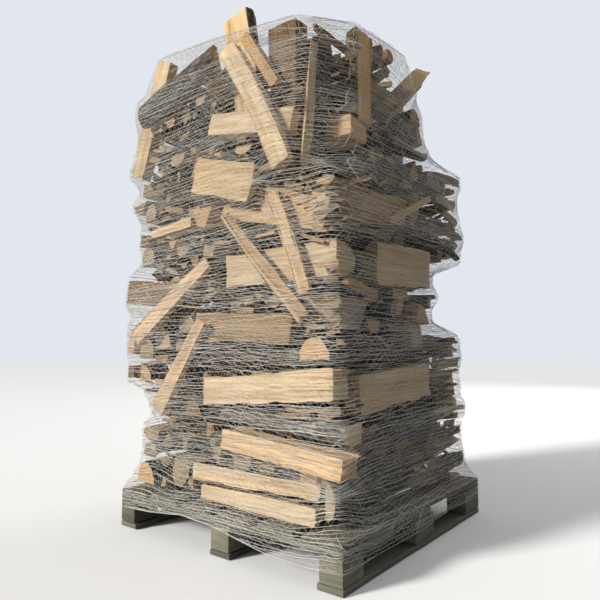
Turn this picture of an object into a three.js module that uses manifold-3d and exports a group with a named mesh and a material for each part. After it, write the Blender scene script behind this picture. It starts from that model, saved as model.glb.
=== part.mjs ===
// A pallet load of split firewood held by a knitted pallet net.
// Millimetres, +Z up. Origin: the middle of the pallet's underside. -Y is the front face,
// +X the right face, and the corner (+X, -Y) is the near one.
import * as THREE from 'three';
import { mergeVertices } from 'three/addons/utils/BufferGeometryUtils.js';
import Module from 'manifold-3d';

const wasm = await Module();
wasm.setup();

// ---- driving dimensions -------------------------------------------------------------------
const PALLET = 1000;
const GAP = 0.3;
const BOTTOM_BOARD = 20;
const BLOCK_HEIGHT = 78;
const STRINGER = 20;
const DECK = 20;
const DECK_TOP = BOTTOM_BOARD + BLOCK_HEIGHT + STRINGER + DECK;
const BLOCK_WIDTH = 82;
const BOTTOM_BOARD_WIDTH = 90;
const DECK_BOARDS = 6;
const DECK_BOARD_WIDTH = 140;
const SPLIT_CLEARANCE = 0.6;
const POCKET_CLEARANCE = 1.5;
const NET_CLEARANCE = 3;
const NET_THICKNESS = 2.5;
const NET_SIDES = 24;
const NET_HEM = 58;

const part = new THREE.Group();
part.name = 'pallet-of-split-firewood';

function addMesh(parent, name, geometry, color, roughness) {
  const material = new THREE.MeshStandardMaterial({ color, roughness, metalness: 0 });
  const mesh = new THREE.Mesh(geometry, material);
  mesh.name = name;
  parent.add(mesh);
  return mesh;
}

// ---- the pallet ---------------------------------------------------------------------------
// Three bottom boards and three rows of blocks run front to back, three stringer boards cross
// them, and the deck boards run front to back on top. The middle row stands a little off centre.
const PALLET_GREY = 0x8a836c;
const ROWS = [
  { side: 'left', x: -PALLET / 2 + BLOCK_WIDTH / 2, boardX: -PALLET / 2 + BOTTOM_BOARD_WIDTH / 2 },
  { side: 'middle', x: 30, boardX: 30 },
  { side: 'right', x: PALLET / 2 - BLOCK_WIDTH / 2, boardX: PALLET / 2 - BOTTOM_BOARD_WIDTH / 2 },
];
const RANKS = [
  { place: 'front', y: -446.5, length: 107, boardY: -450 },
  { place: 'centre', y: 0, length: 139, boardY: 0 },
  { place: 'back', y: 431.5, length: 137, boardY: 450 },
];

const pallet = new THREE.Group();
pallet.name = 'pallet';
part.add(pallet);

function board(name, sizeX, sizeY, height, x, y, bottom, color = PALLET_GREY) {
  const geometry = new THREE.BoxGeometry(sizeX, sizeY, height - GAP);
  const mesh = addMesh(pallet, name, geometry, color, 0.9);
  mesh.position.set(x, y, bottom + (height - GAP) / 2);
}

for (const row of ROWS) {
  board(`pallet-bottom-board-${row.side}`, BOTTOM_BOARD_WIDTH, PALLET, BOTTOM_BOARD, row.boardX, 0, 0);
  for (const rank of RANKS) {
    const name = `pallet-block-${rank.place}-${row.side}`;
    board(name, BLOCK_WIDTH, rank.length, BLOCK_HEIGHT, row.x, rank.y, BOTTOM_BOARD, 0x7d7860);
  }
}
for (const rank of RANKS) {
  const bottom = BOTTOM_BOARD + BLOCK_HEIGHT;
  board(`pallet-stringer-${rank.place}`, PALLET, 100, STRINGER, 0, rank.boardY, bottom);
}
for (let i = 0; i < DECK_BOARDS; i += 1) {
  const pitch = (PALLET - DECK_BOARD_WIDTH) / (DECK_BOARDS - 1);
  const x = -PALLET / 2 + DECK_BOARD_WIDTH / 2 + i * pitch;
  board(`pallet-deck-board-${i + 1}`, DECK_BOARD_WIDTH, PALLET, DECK, x, 0, DECK_TOP - DECK);
}

// ---- split logs ---------------------------------------------------------------------------
// Each log is a straight prism. Its section is given as fractions of [wide, deep], the second
// number growing out of the heap. Curved runs of short sides are bark, long sides are split wood.
const SECTIONS = {
  slat: [[-0.5, -0.5], [0.46, -0.5], [0.5, 0.44], [-0.47, 0.5]],
  wedge: [[-0.22, -0.46], [0.16, -0.5], [0.5, 0.42], [-0.5, 0.5]],
  ridge: [[-0.5, -0.3], [-0.2, -0.47], [0.2, -0.5], [0.5, -0.28], [0.06, 0.5]],
  flat: [[-0.48, 0.15], [-0.36, -0.22], [-0.14, -0.46], [0.14, -0.5], [0.37, -0.26], [0.5, 0.12],
    [0.47, 0.5], [-0.5, 0.46]],
  bark: [[-0.44, -0.5], [0.46, -0.46], [0.5, 0.02], [0.34, 0.34], [0.1, 0.49], [-0.14, 0.5],
    [-0.37, 0.31], [-0.5, -0.04]],
  round: [[-0.2, -0.5], [0.2, -0.49], [0.46, -0.24], [0.5, 0.18], [0.28, 0.46], [-0.14, 0.5],
    [-0.42, 0.28], [-0.5, -0.16]],
};

const FACES = {
  front: { along: [1, 0, 0], up: [0, 0, 1], out: [0, -1, 0] },
  right: { along: [0, 1, 0], up: [0, 0, 1], out: [1, 0, 0] },
  back: { along: [-1, 0, 0], up: [0, 0, 1], out: [0, 1, 0] },
  left: { along: [0, -1, 0], up: [0, 0, 1], out: [-1, 0, 0] },
};

const degrees = THREE.MathUtils.degToRad;
const vector = (list) => new THREE.Vector3(...list);
const splits = [];

// Axes of one log: u along it, w across it in the face, n out of the face.
function axesOf(face, log) {
  const along = vector(face.along);
  const up = vector(face.up);
  const out = vector(face.out);
  const u = log.headOn ? out.clone() : along.clone();
  const w = log.headOn ? along.clone() : up.clone();
  const n = log.headOn ? up.clone() : out.clone();
  const turn = new THREE.Quaternion();
  const apply = (axis, angle) => {
    turn.setFromAxisAngle(axis, degrees(angle));
    [u, w, n].forEach((v) => v.applyQuaternion(turn));
  };
  apply(u.clone(), log.roll ?? 0);
  apply(log.headOn ? along.clone() : up.clone(), log.lean ?? 0);
  apply(log.headOn ? up.clone() : out.clone(), log.tilt ?? 0);
  return { u, w, n, out };
}

function cornersOf(log, grow) {
  const { u, w, n } = log.axes;
  const ends = [[-0.5, 1], [0.5, log.taper ?? 1]];
  return ends.map(([end, scale]) => SECTIONS[log.section].map(([a, b]) => {
    const across = a * (log.size[0] + 2 * grow) * scale;
    const outward = b * (log.size[1] + 2 * grow) * scale;
    const point = log.middle.clone().addScaledVector(u, end * (log.length + 2 * grow));
    return point.addScaledVector(w, across).addScaledVector(n, outward);
  }));
}

// Faces and edges that can separate two convex logs.
function directionsOf([near, far]) {
  const normals = [];
  const edges = [];
  near.forEach((point, i) => {
    const next = near[(i + 1) % near.length];
    const edge = next.clone().sub(point);
    const side = far[i].clone().sub(point);
    normals.push(edge.clone().cross(side));
    edges.push(edge, side);
 });
  normals.push(near[1].clone().sub(near[0]).cross(near[2].clone().sub(near[0])));
  return { normals, edges, points: [...near, ...far] };
}

function apart(a, b, clearance) {
  const crosses = a.edges.flatMap((edge) => b.edges.map((other) => edge.clone().cross(other)));
  return [...a.normals, ...b.normals, ...crosses].some((axis) => {
    if (axis.lengthSq() < 1e-3) return false;
    axis = axis.clone().normalize();
    const spanA = a.points.map((point) => point.dot(axis));
    const spanB = b.points.map((point) => point.dot(axis));
    const gapAbove = Math.min(...spanB) - Math.max(...spanA);
    const gapBelow = Math.min(...spanA) - Math.max(...spanB);
    return Math.max(gapAbove, gapBelow) > clearance;
 });
}

// Lays one log with its outermost corner at `reach`, then slides it outwards in small steps
// until it clears every log laid before it.
function lay(name, faceName, [along, up], log) {
  const face = FACES[faceName];
  log.axes = axesOf(face, log);
  const { out } = log.axes;
  log.middle = vector(face.along).multiplyScalar(along).addScaledVector(vector(face.up), up);
  const outermost = Math.max(...cornersOf(log, 0).flat().map((point) => point.dot(out)));
  log.middle.addScaledVector(out, log.reach - outermost);
  let shape = directionsOf(cornersOf(log, 0));
  for (let step = 0; step < 160; step += 1) {
    const clear = splits.every((other) => apart(shape, other.shape, SPLIT_CLEARANCE));
    if (clear) break;
    log.middle.addScaledVector(out, 1.5);
    shape = directionsOf(cornersOf(log, 0));
  }
  splits.push({ name, log, shape });
}

// Front face, from the deck upwards.
lay('split-front-on-deck', 'front', [118, 171], {
  tilt: 0, reach: 452, length: 500, size: [60, 90], section: 'wedge' });
lay('split-corner-low-bark', 'right', [-205, 225], {
  tilt: 2, reach: 440, length: 480, size: [118, 50], section: 'bark' });
lay('split-front-low-pale', 'front', [114, 240], {
  tilt: 0.5, reach: 462, length: 540, size: [66, 90], section: 'wedge', taper: 0.8 });
lay('split-front-low-bright', 'front', [224, 338], {
  tilt: -5, reach: 462, length: 492, size: [76, 100], section: 'slat' });
lay('split-front-grey-bark', 'front', [210, 421], {
  tilt: -3, reach: 456, length: 520, size: [56, 90], section: 'bark', taper: 1.32 });
lay('split-front-big-bright', 'front', [158, 532], {
  tilt: 4.5, reach: 455, length: 560, size: [104, 95], section: 'slat' });
lay('split-front-dark-bark', 'front', [50, 628], {
  tilt: 1, reach: 434, length: 490, size: [60, 85], section: 'bark' });
lay('split-corner-golden-end', 'front', [366, 657], {
  headOn: true, reach: 447, length: 470, size: [126, 90], section: 'flat', roll: 180 });
lay('split-front-pale-face', 'front', [44, 731], {
  tilt: -3, reach: 446, length: 452, size: [110, 80], section: 'slat' });
lay('split-left-corner-low-end', 'front', [-413, 198], {
  headOn: true, reach: 462, length: 500, size: [110, 92], section: 'flat', roll: 180 });

// Front face, the middle.
lay('split-front-left-poking-out', 'front', [-374, 872], {
  tilt: -6, reach: 455, length: 420, size: [104, 100], section: 'wedge' });
lay('split-corner-half-round', 'front', [202, 929], {
  tilt: 0, reach: 438, length: 476, size: [126, 126], section: 'flat' });
lay('split-front-golden-end', 'front', [-140, 1138], {
  headOn: true, reach: 448, length: 480, size: [124, 92], section: 'wedge' });
lay('split-corner-wide-face', 'front', [173, 1129], {
  tilt: -13, reach: 430, length: 456, size: [136, 60], section: 'slat' });
lay('split-front-wide-slab', 'front', [-19, 1252], {
  tilt: -16, reach: 478, length: 306, size: [158, 44], section: 'wedge' });
lay('split-front-low-leaning', 'front', [-215, 595], {
  tilt: 55, reach: 490, length: 400, size: [82, 40], section: 'slat', taper: 0.6 });
lay('split-front-left-leaning', 'front', [-266, 830], {
  tilt: 33, reach: 497, length: 480, size: [80, 38], section: 'slat', taper: 0.7 });
lay('split-front-short-slat', 'front', [277, 994], {
  tilt: -68, reach: 476, length: 365, size: [54, 34], section: 'slat' });
lay('split-front-long-slat', 'front', [163, 930], {
  tilt: -47, reach: 492, length: 505, size: [54, 38], section: 'ridge', taper: 1.3 });

// Front face, the top.
lay('split-top-poking-out', 'front', [-12, 1686], {
  tilt: -79, reach: 378, length: 490, size: [135, 90], section: 'flat' });
lay('split-top-wide-standing', 'front', [178, 1556], {
  tilt: 90, reach: 380, length: 480, size: [136, 70], section: 'slat' });
lay('split-front-pale-block', 'front', [73, 1441], {
  tilt: -12, reach: 440, length: 408, size: [90, 55], section: 'slat' });
lay('split-left-edge-standing', 'front', [-475, 1595], {
  tilt: 70, reach: 440, length: 490, size: [98, 50], section: 'slat' });
lay('split-top-rising-bark', 'front', [-268, 1652], {
  tilt: 14, reach: 500, length: 450, size: [112, 56], section: 'bark' });
lay('split-corner-standing-wedge', 'front', [334, 1436], {
  tilt: 84, reach: 448, length: 410, size: [62, 110], section: 'ridge' });
lay('split-front-long-leaning', 'front', [141, 1472], {
  tilt: -62, reach: 499, length: 540, size: [86, 56], section: 'slat' });

// Right face.
lay('split-right-low-bark', 'right', [30, 385], {
  tilt: 3, reach: 440, length: 520, size: [96, 90], section: 'bark' });
lay('split-right-big-pale', 'right', [-60, 529], {
  tilt: 4, reach: 448, length: 500, size: [136, 80], section: 'slat' });
lay('split-corner-grey-wedge', 'right', [-340, 768], {
  headOn: true, reach: 446, length: 172, size: [176, 112], section: 'wedge' });
lay('split-right-big-mid', 'right', [40, 960], {
  tilt: 3, reach: 436, length: 420, size: [158, 90], section: 'flat' });
lay('split-right-brown', 'right', [-146, 1138], {
  tilt: 9, reach: 428, length: 420, size: [118, 70], section: 'flat' });
lay('split-right-standing', 'right', [-206, 1592], {
  tilt: 89, reach: 416, length: 330, size: [112, 80], section: 'flat' });
lay('split-right-top-rising', 'right', [120, 1656], {
  tilt: 41, reach: 436, length: 470, size: [92, 80], section: 'ridge' });

// Back and left faces.
lay('split-back-level', 'back', [60, 760], {
  tilt: 3, reach: 440, length: 520, size: [120, 90], section: 'flat' });
lay('split-back-leaning', 'back', [-90, 1330], {
  tilt: 48, reach: 446, length: 500, size: [100, 70], section: 'slat' });
lay('split-left-level', 'left', [40, 560], {
  tilt: -4, reach: 466, length: 520, size: [110, 90], section: 'bark' });
lay('split-left-leaning', 'left', [80, 1180], {
  tilt: -38, reach: 452, length: 500, size: [105, 80], section: 'slat' });

// ---- solids -------------------------------------------------------------------------------
function toManifold(geometry) {
  const bare = geometry.clone();
  bare.deleteAttribute('normal');
  bare.deleteAttribute('uv');
  const merged = mergeVertices(bare, 1e-4);
  const mesh = new wasm.Mesh({
    numProp: 3,
    vertProperties: Float32Array.from(merged.attributes.position.array),
    triVerts: Uint32Array.from(merged.index.array),
 });
  return new wasm.Manifold(mesh);
}

function toGeometry(solid) {
  const mesh = solid.getMesh();
  const geometry = new THREE.BufferGeometry();
  geometry.setAttribute('position', new THREE.BufferAttribute(mesh.vertProperties, 3));
  geometry.setIndex(new THREE.BufferAttribute(mesh.triVerts, 1));
  const faceted = geometry.toNonIndexed();
  faceted.computeVertexNormals();
  return faceted;
}

// A prism between the two end outlines, made by extruding the section and moving its corners.
function prism(corners) {
  const count = corners[0].length;
  const outline = new THREE.Shape();
  for (let i = 0; i < count; i += 1) {
    const angle = (2 * Math.PI * i) / count;
    outline.lineTo(Math.cos(angle), Math.sin(angle));
  }
  const geometry = new THREE.ExtrudeGeometry(outline, { depth: 1, bevelEnabled: false, steps: 1 });
  const position = geometry.attributes.position;
  for (let i = 0; i < position.count; i += 1) {
    const angle = Math.atan2(position.getY(i), position.getX(i));
    const index = (Math.round((angle * count) / (2 * Math.PI)) + count) % count;
    const corner = corners[position.getZ(i) > 0.5 ? 1 : 0][index];
    position.setXYZ(i, corner.x, corner.y, corner.z);
  }
  geometry.computeVertexNormals();
  return geometry;
}

const WOOD = { slat: 0xcbae80, wedge: 0xc2a173, ridge: 0xc9a56f, flat: 0xb8966a, bark: 0x5b544a,
  round: 0x8d7757 };
const load = new THREE.Group();
load.name = 'firewood';
part.add(load);
for (const { name, log } of splits) {
  addMesh(load, name, prism(cornersOf(log, 0)), WOOD[log.section], 0.85);
}

// The rest of the heap: one column that reaches the tips of all the other logs, with a pocket
// for each log named above.
const HEAP_SIDES = 16;
const HEAP_LEVELS = [
  { z: DECK_TOP + GAP, x: 420, y: 422, shiftX: 0, shiftY: 0 },
  { z: 300, x: 408, y: 418, shiftX: 0, shiftY: 6 },
  { z: 430, x: 396, y: 416, shiftX: 14, shiftY: 4 },
  { z: 580, x: 436, y: 424, shiftX: -18, shiftY: 2 },
  { z: 720, x: 428, y: 418, shiftX: -14, shiftY: 6 },
  { z: 1000, x: 436, y: 428, shiftX: -18, shiftY: 8 },
  { z: 1200, x: 424, y: 418, shiftX: -8, shiftY: 6 },
  { z: 1400, x: 440, y: 424, shiftX: -22, shiftY: 8 },
  { z: 1640, x: 418, y: 410, shiftX: -6, shiftY: 10 },
  { z: 1740, x: 360, y: 350, shiftX: 0, shiftY: 12 },
];

function squareness(angle) {
  const power = 7;
  const c = Math.abs(Math.cos(angle)) ** power;
  const s = Math.abs(Math.sin(angle)) ** power;
  return (c + s) ** (-1 / power);
}

function column(levels, sides, place) {
  const geometry = new THREE.CylinderGeometry(1, 1, 1, sides, levels.length - 1);
  const position = geometry.attributes.position;
  const last = levels.length - 1;
  for (let i = 0; i < position.count; i += 1) {
    const level = Math.round((position.getY(i) + 0.5) * last);
    const middle = Math.hypot(position.getX(i), position.getZ(i)) < 0.5;
    const turn = Math.atan2(position.getZ(i), position.getX(i));
    const index = (Math.round((-turn * sides) / (2 * Math.PI)) + sides) % sides;
    const [x, y] = middle ? [levels[level].shiftX ?? 0, levels[level].shiftY ?? 0]
      : place(level, index);
    position.setXYZ(i, x, y, levels[level].z);
  }
  return geometry;
}

const heapColumn = column(HEAP_LEVELS, HEAP_SIDES, (level, index) => {
  const angle = (2 * Math.PI * (index + 0.5)) / HEAP_SIDES;
  const { x, y, shiftX, shiftY } = HEAP_LEVELS[level];
  const radius = squareness(angle);
  return [shiftX + x * radius * Math.cos(angle), shiftY + y * radius * Math.sin(angle)];
});
let heap = toManifold(heapColumn);
for (const { log } of splits) {
  heap = heap.subtract(toManifold(prism(cornersOf(log, POCKET_CLEARANCE))));
}
const [heapBody] = heap.decompose().sort((a, b) => b.volume() - a.volume());
addMesh(load, 'firewood-heap', toGeometry(heapBody), 0xa98c63, 0.9);

// ---- the net ------------------------------------------------------------------------------
// A thin sleeve pulled tight around the load: at each height it is the outline that just holds
// everything between its neighbour heights, so it bridges the hollows and lies on what sticks out.
const NET_HEIGHTS = [NET_HEM, 139, 175, 240, 310, 380, 450, 520, 590, 660, 730, 800, 870, 940, 1010,
  1080, 1150, 1220, 1290, 1360, 1430, 1500, 1570, 1640, 1700, 1760];

function clippedPoints(a, b, low, high) {
  const points = [];
  const rise = b.z - a.z;
  const inside = (point) => point.z >= low && point.z <= high;
  if (inside(a)) points.push(a);
  if (inside(b)) points.push(b);
  for (const level of [low, high]) {
    const t = (level - a.z) / rise;
    if (Number.isFinite(t) && t > 0 && t < 1) points.push(a.clone().lerp(b, t));
  }
  return points;
}

function edgesOfLoad() {
  const edges = [];
  for (const { shape } of splits) {
    const half = shape.points.length / 2;
    for (let i = 0; i < half; i += 1) {
      const next = (i + 1) % half;
      edges.push([shape.points[i], shape.points[i + half]]);
      edges.push([shape.points[i], shape.points[next]]);
      edges.push([shape.points[i + half], shape.points[next + half]]);
    }
  }
  const heapMesh = heapBody.getMesh();
  const corner = (index) => vector([...heapMesh.vertProperties.slice(3 * index, 3 * index + 3)]);
  for (let i = 0; i < heapMesh.triVerts.length; i += 3) {
    const [a, b, c] = [...heapMesh.triVerts.slice(i, i + 3)].map(corner);
    edges.push([a, b], [b, c], [c, a]);
  }
  const half = PALLET / 2;
  for (const x of [-half, half]) {
    for (const y of [-half, half]) {
      edges.push([vector([x, y, 0]), vector([x, y, DECK_TOP])]);
    }
  }
  return edges;
}

const loadEdges = edgesOfLoad();
const netAngles = Array.from({ length: NET_SIDES }, (_, i) => (2 * Math.PI * i) / NET_SIDES);
const netSupports = NET_HEIGHTS.map((z, k) => {
  const low = NET_HEIGHTS[Math.max(0, k - 1)];
  const high = NET_HEIGHTS[Math.min(NET_HEIGHTS.length - 1, k + 1)];
  const points = loadEdges.flatMap(([a, b]) => clippedPoints(a, b, low, high));
  return netAngles.map((angle) => {
    const c = Math.cos(angle);
    const s = Math.sin(angle);
    return points.reduce((most, point) => Math.max(most, point.x * c + point.y * s), 0);
 });
});

function netCorner(supports, index, offset) {
  const next = (index + 1) % NET_SIDES;
  const a = netAngles[index];
  const b = netAngles[next];
  const ha = supports[index] + offset;
  const hb = supports[next] + offset;
  const area = Math.sin(b - a);
  return [(ha * Math.sin(b) - hb * Math.sin(a)) / area, (hb * Math.cos(a) - ha * Math.cos(b)) / area];
}

function netSolid(offset, stretch) {
  const levels = NET_HEIGHTS.map((z, k) => {
    const edge = k === 0 ? -stretch : (k === NET_HEIGHTS.length - 1 ? stretch : 0);
    return { z: z + edge };
 });
  const geometry = column(levels, NET_SIDES, (level, index) => {
    return netCorner(netSupports[level], index, offset);
 });
  return toManifold(geometry);
}

const netBody = netSolid(NET_CLEARANCE + NET_THICKNESS, 0).subtract(netSolid(NET_CLEARANCE, 5));
addMesh(part, 'pallet-net', toGeometry(netBody), 0xd8cfbb, 0.8);

export default part;
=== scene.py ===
"""A pallet of split firewood in its knitted net, laid out as an add-on and run as a script."""
import math
import random

import bpy
import numpy as np
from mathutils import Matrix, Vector


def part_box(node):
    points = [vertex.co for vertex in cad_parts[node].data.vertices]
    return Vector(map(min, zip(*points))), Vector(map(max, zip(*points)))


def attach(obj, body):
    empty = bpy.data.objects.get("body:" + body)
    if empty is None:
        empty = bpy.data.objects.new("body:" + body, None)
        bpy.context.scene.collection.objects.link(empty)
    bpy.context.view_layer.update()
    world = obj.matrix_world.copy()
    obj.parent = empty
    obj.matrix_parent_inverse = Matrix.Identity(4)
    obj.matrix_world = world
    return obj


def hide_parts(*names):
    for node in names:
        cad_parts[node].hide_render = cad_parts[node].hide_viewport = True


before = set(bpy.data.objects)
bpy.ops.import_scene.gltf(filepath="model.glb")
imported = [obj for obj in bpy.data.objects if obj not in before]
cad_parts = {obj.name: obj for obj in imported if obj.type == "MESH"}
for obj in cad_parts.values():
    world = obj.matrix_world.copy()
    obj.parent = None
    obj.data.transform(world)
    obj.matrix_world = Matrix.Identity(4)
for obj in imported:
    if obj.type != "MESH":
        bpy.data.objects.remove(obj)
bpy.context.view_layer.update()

bl_info = {
    "name": "Netted pallet of split firewood",
    "version": (1, 0, 0),
    "blender": (4, 5, 0),
    "location": "View3D > Sidebar > Firewood",
    "description": "Split logs heaped on a wooden pallet and wound round with a knitted net",
    "category": "Add Mesh",
}

BODY = "root"
LOG_NODES = sorted(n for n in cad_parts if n.startswith("split-"))
PALLET_NODES = sorted(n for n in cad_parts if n.startswith("pallet-") and n != "pallet-net")
DECK_TOP = max(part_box(n)[1].z for n in PALLET_NODES)
HALF_PALLET = 0.5
# Where the net turns in over the load, its foot on the pallet, and where each wrap ends above.
TOP_TURN = 1.66
NET_FOOT, NET_END = 0.05, TOP_TURN + 0.30
# Middle of the load, which the lamps are aimed at, and the camera's place, turn and lens.
LOAD_MIDDLE = (0, 0, 0.9)
CAMERA_PLACE = (1.33689, -1.75737, 0.64707)
CAMERA_AZIMUTH, CAMERA_ELEVATION, CAMERA_LENS = 38.0, -5.494, 32.70


# ---- settings -----------------------------------------------------------------------------
class FirewoodLogSettings(bpy.types.PropertyGroup):
    ridge: bpy.props.FloatProperty(
        name="Split ridges", description="Depth of the torn ridges on split faces",
        default=0.0038, min=0.0, max=0.01, unit="LENGTH")
    bark_relief: bpy.props.FloatProperty(
        name="Bark relief", description="Depth of the furrows in the bark",
        default=0.006, min=0.0, max=0.02, unit="LENGTH")
    pale: bpy.props.FloatVectorProperty(
        name="Pale split wood", description="Lightest colour of a fresh split face",
        default=(0.67, 0.535, 0.36), subtype="COLOR", min=0.0, max=1.0)
    deep: bpy.props.FloatVectorProperty(
        name="Deep split wood", description="Darker bands of a fresh split face",
        default=(0.53, 0.40, 0.245), subtype="COLOR", min=0.0, max=1.0)
    seed: bpy.props.IntProperty(
        name="Heap seed", description="Changes which way the unnamed logs lie", default=7)


class FirewoodNetSettings(bpy.types.PropertyGroup):
    strand_width: bpy.props.FloatProperty(
        name="Strand width", description="Width of one knitted strand",
        default=0.00125, min=0.0005, max=0.006, unit="LENGTH")
    spacing: bpy.props.FloatProperty(
        name="Strand spacing", description="Height between neighbouring strands of one wrap",
        default=0.0125, min=0.004, max=0.05, unit="LENGTH")
    colour: bpy.props.FloatVectorProperty(
        name="Net colour", description="Colour of the net's plastic yarn",
        default=(0.69, 0.67, 0.61), subtype="COLOR", min=0.0, max=1.0)


class FirewoodPalletSettings(bpy.types.PropertyGroup):
    edge: bpy.props.FloatProperty(
        name="Worn edge", description="Width of the rounded edges of boards and blocks",
        default=0.0025, min=0.0, max=0.008, unit="LENGTH")
    colour: bpy.props.FloatVectorProperty(
        name="Weathered wood", description="Colour of the pallet's grey wood",
        default=(0.175, 0.163, 0.134), subtype="COLOR", min=0.0, max=1.0)


# ---- mesh helpers -------------------------------------------------------------------------
def deselect_all():
    if bpy.context.object and bpy.context.object.mode != "OBJECT":
        bpy.ops.object.mode_set(mode="OBJECT")
    bpy.ops.object.select_all(action="DESELECT")


def make_active(obj):
    deselect_all()
    obj.select_set(True)
    bpy.context.view_layer.objects.active = obj


def value_noise(x, y, seed):
    """Smooth noise in -1..1 over arrays of x and y."""
    x = np.asarray(x, float)
    y = np.asarray(y, float)
    xi = np.floor(x).astype(np.int64)
    yi = np.floor(y).astype(np.int64)
    fx = x - xi
    fy = y - yi
    fx = fx * fx * (3 - 2 * fx)
    fy = fy * fy * (3 - 2 * fy)

    def corner(a, b):
        n = (a * 374761393 + b * 668265263 + seed * 1274126177) & 0x7FFFFFFF
        n = ((n ^ (n >> 13)) * 1274126177) & 0x7FFFFFFF
        return ((n ^ (n >> 16)) & 0xFFFF) / 32767.5 - 1.0

    low = corner(xi, yi) * (1 - fx) + corner(xi + 1, yi) * fx
    high = corner(xi, yi + 1) * (1 - fx) + corner(xi + 1, yi + 1) * fx
    return low * (1 - fy) + high * fy


class Soup:
    """Closed shapes gathered as arrays, then made into one object."""

    def __init__(self):
        self.verts, self.loops, self.starts, self.slots, self.uvs, self.tones = [], [], [], [], [], []
        self.vert_count = 0
        self.loop_count = 0

    def add(self, verts, loops, starts, slots, uvs, tone):
        self.verts.append(verts)
        self.loops.append(loops + self.vert_count)
        self.starts.append(starts + self.loop_count)
        self.slots.append(slots)
        self.uvs.append(uvs)
        self.tones.append(np.tile(np.asarray(tone, np.float32), (len(verts), 1)))
        self.vert_count += len(verts)
        self.loop_count += len(loops)

    def build(self, name, materials, smooth_angle=None):
        mesh = bpy.data.meshes.new(name)
        verts = np.concatenate(self.verts).astype(np.float32)
        loops = np.concatenate(self.loops).astype(np.int32)
        starts = np.concatenate(self.starts).astype(np.int32)
        mesh.vertices.add(len(verts))
        mesh.vertices.foreach_set("co", verts.ravel())
        mesh.loops.add(len(loops))
        mesh.loops.foreach_set("vertex_index", loops)
        mesh.polygons.add(len(starts))
        mesh.polygons.foreach_set("loop_start", starts)
        mesh.polygons.foreach_set("material_index", np.concatenate(self.slots).astype(np.int32))
        mesh.update(calc_edges=True)
        layer = mesh.uv_layers.new(name="grain")
        layer.data.foreach_set("uv", np.concatenate(self.uvs).astype(np.float32).ravel())
        tone = mesh.attributes.new("tone", "FLOAT_COLOR", "POINT")
        tone.data.foreach_set("color", np.concatenate(self.tones).ravel())
        for material in materials:
            mesh.materials.append(material)
        obj = bpy.data.objects.new(name, mesh)
        bpy.context.scene.collection.objects.link(obj)
        if smooth_angle is not None:
            make_active(obj)
            bpy.ops.object.shade_smooth_by_angle(angle=smooth_angle)
        return obj


# ---- materials ----------------------------------------------------------------------------
class Finish:
    """Short ways to add shader nodes to one material."""

    def __init__(self, name, roughness=0.8):
        self.material = bpy.data.materials.new(name)
        self.material.use_nodes = True
        self.tree = self.material.node_tree
        self.shader = self.tree.nodes["Principled BSDF"]
        self.shader.inputs["Roughness"].default_value = roughness
        self.shader.inputs["Specular IOR Level"].default_value = 0.25

    def put(self, socket, value):
        if isinstance(value, bpy.types.NodeSocket):
            self.tree.links.new(value, socket)
        else:
            socket.default_value = value

    def node(self, kind, inputs=None, **props):
        node = self.tree.nodes.new(kind)
        for key, value in props.items():
            setattr(node, key, value)
        for key, value in (inputs or {}).items():
            self.put(node.inputs[key], value)
        return node

    def uv(self):
        return self.node("ShaderNodeUVMap", uv_map="grain").outputs["UV"]

    def stretched(self, vector, scale):
        node = self.node("ShaderNodeMapping", {"Vector": vector, "Scale": scale})
        return node.outputs["Vector"]

    def noise(self, vector, scale=1.0, detail=3.0, roughness=0.55, distortion=0.0):
        node = self.node("ShaderNodeTexNoise", {
            "Vector": vector, "Scale": scale, "Detail": detail,
            "Roughness": roughness, "Distortion": distortion})
        return node.outputs["Fac"]

    def math(self, operation, a, b=0.0, c=0.0, clamp=False):
        node = self.node("ShaderNodeMath", {0: a, 1: b, 2: c}, operation=operation, use_clamp=clamp)
        return node.outputs[0]

    def between(self, value, low, high):
        node = self.node("ShaderNodeMapRange", {"Value": value, "From Min": low, "From Max": high},
                         clamp=True, interpolation_type="SMOOTHSTEP")
        return node.outputs["Result"]

    def mix(self, factor, a, b, blend="MIX"):
        node = self.node("ShaderNodeMix", {0: factor, 6: a, 7: b}, data_type="RGBA", blend_type=blend)
        return node.outputs[2]

    def ramp(self, factor, stops):
        node = self.node("ShaderNodeValToRGB", {"Fac": factor})
        ramp = node.color_ramp
        while len(ramp.elements) < len(stops):
            ramp.elements.new(0.5)
        for element, (place, colour) in zip(ramp.elements, stops):
            element.position = place
            element.color = (*colour, 1.0)
        return node.outputs["Color"]

    def bump(self, height, distance, strength=1.0, normal=None):
        inputs = {"Height": height, "Distance": distance, "Strength": strength}
        if normal is not None:
            inputs["Normal"] = normal
        return self.node("ShaderNodeBump", inputs).outputs["Normal"]

    def done(self, colour, normal=None, roughness=None):
        self.put(self.shader.inputs["Base Color"], colour)
        if normal is not None:
            self.put(self.shader.inputs["Normal"], normal)
        if roughness is not None:
            self.put(self.shader.inputs["Roughness"], roughness)
        return self.material


def toned(finish, colour, grey):
    """The colour times the log's tone, which for some logs also holds painted shade, greyed by how
    weathered that log is.
    """
    tone = finish.node("ShaderNodeAttribute", attribute_name="tone")
    patchy = finish.noise(finish.stretched(finish.uv(), (7, 16, 1)), detail=3)
    weather = finish.math("MULTIPLY", tone.outputs["Alpha"], finish.between(patchy, 0.2, 0.75))
    colour = finish.mix(weather, colour, grey)
    return finish.mix(1.0, colour, tone.outputs["Color"], "MULTIPLY")


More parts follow.
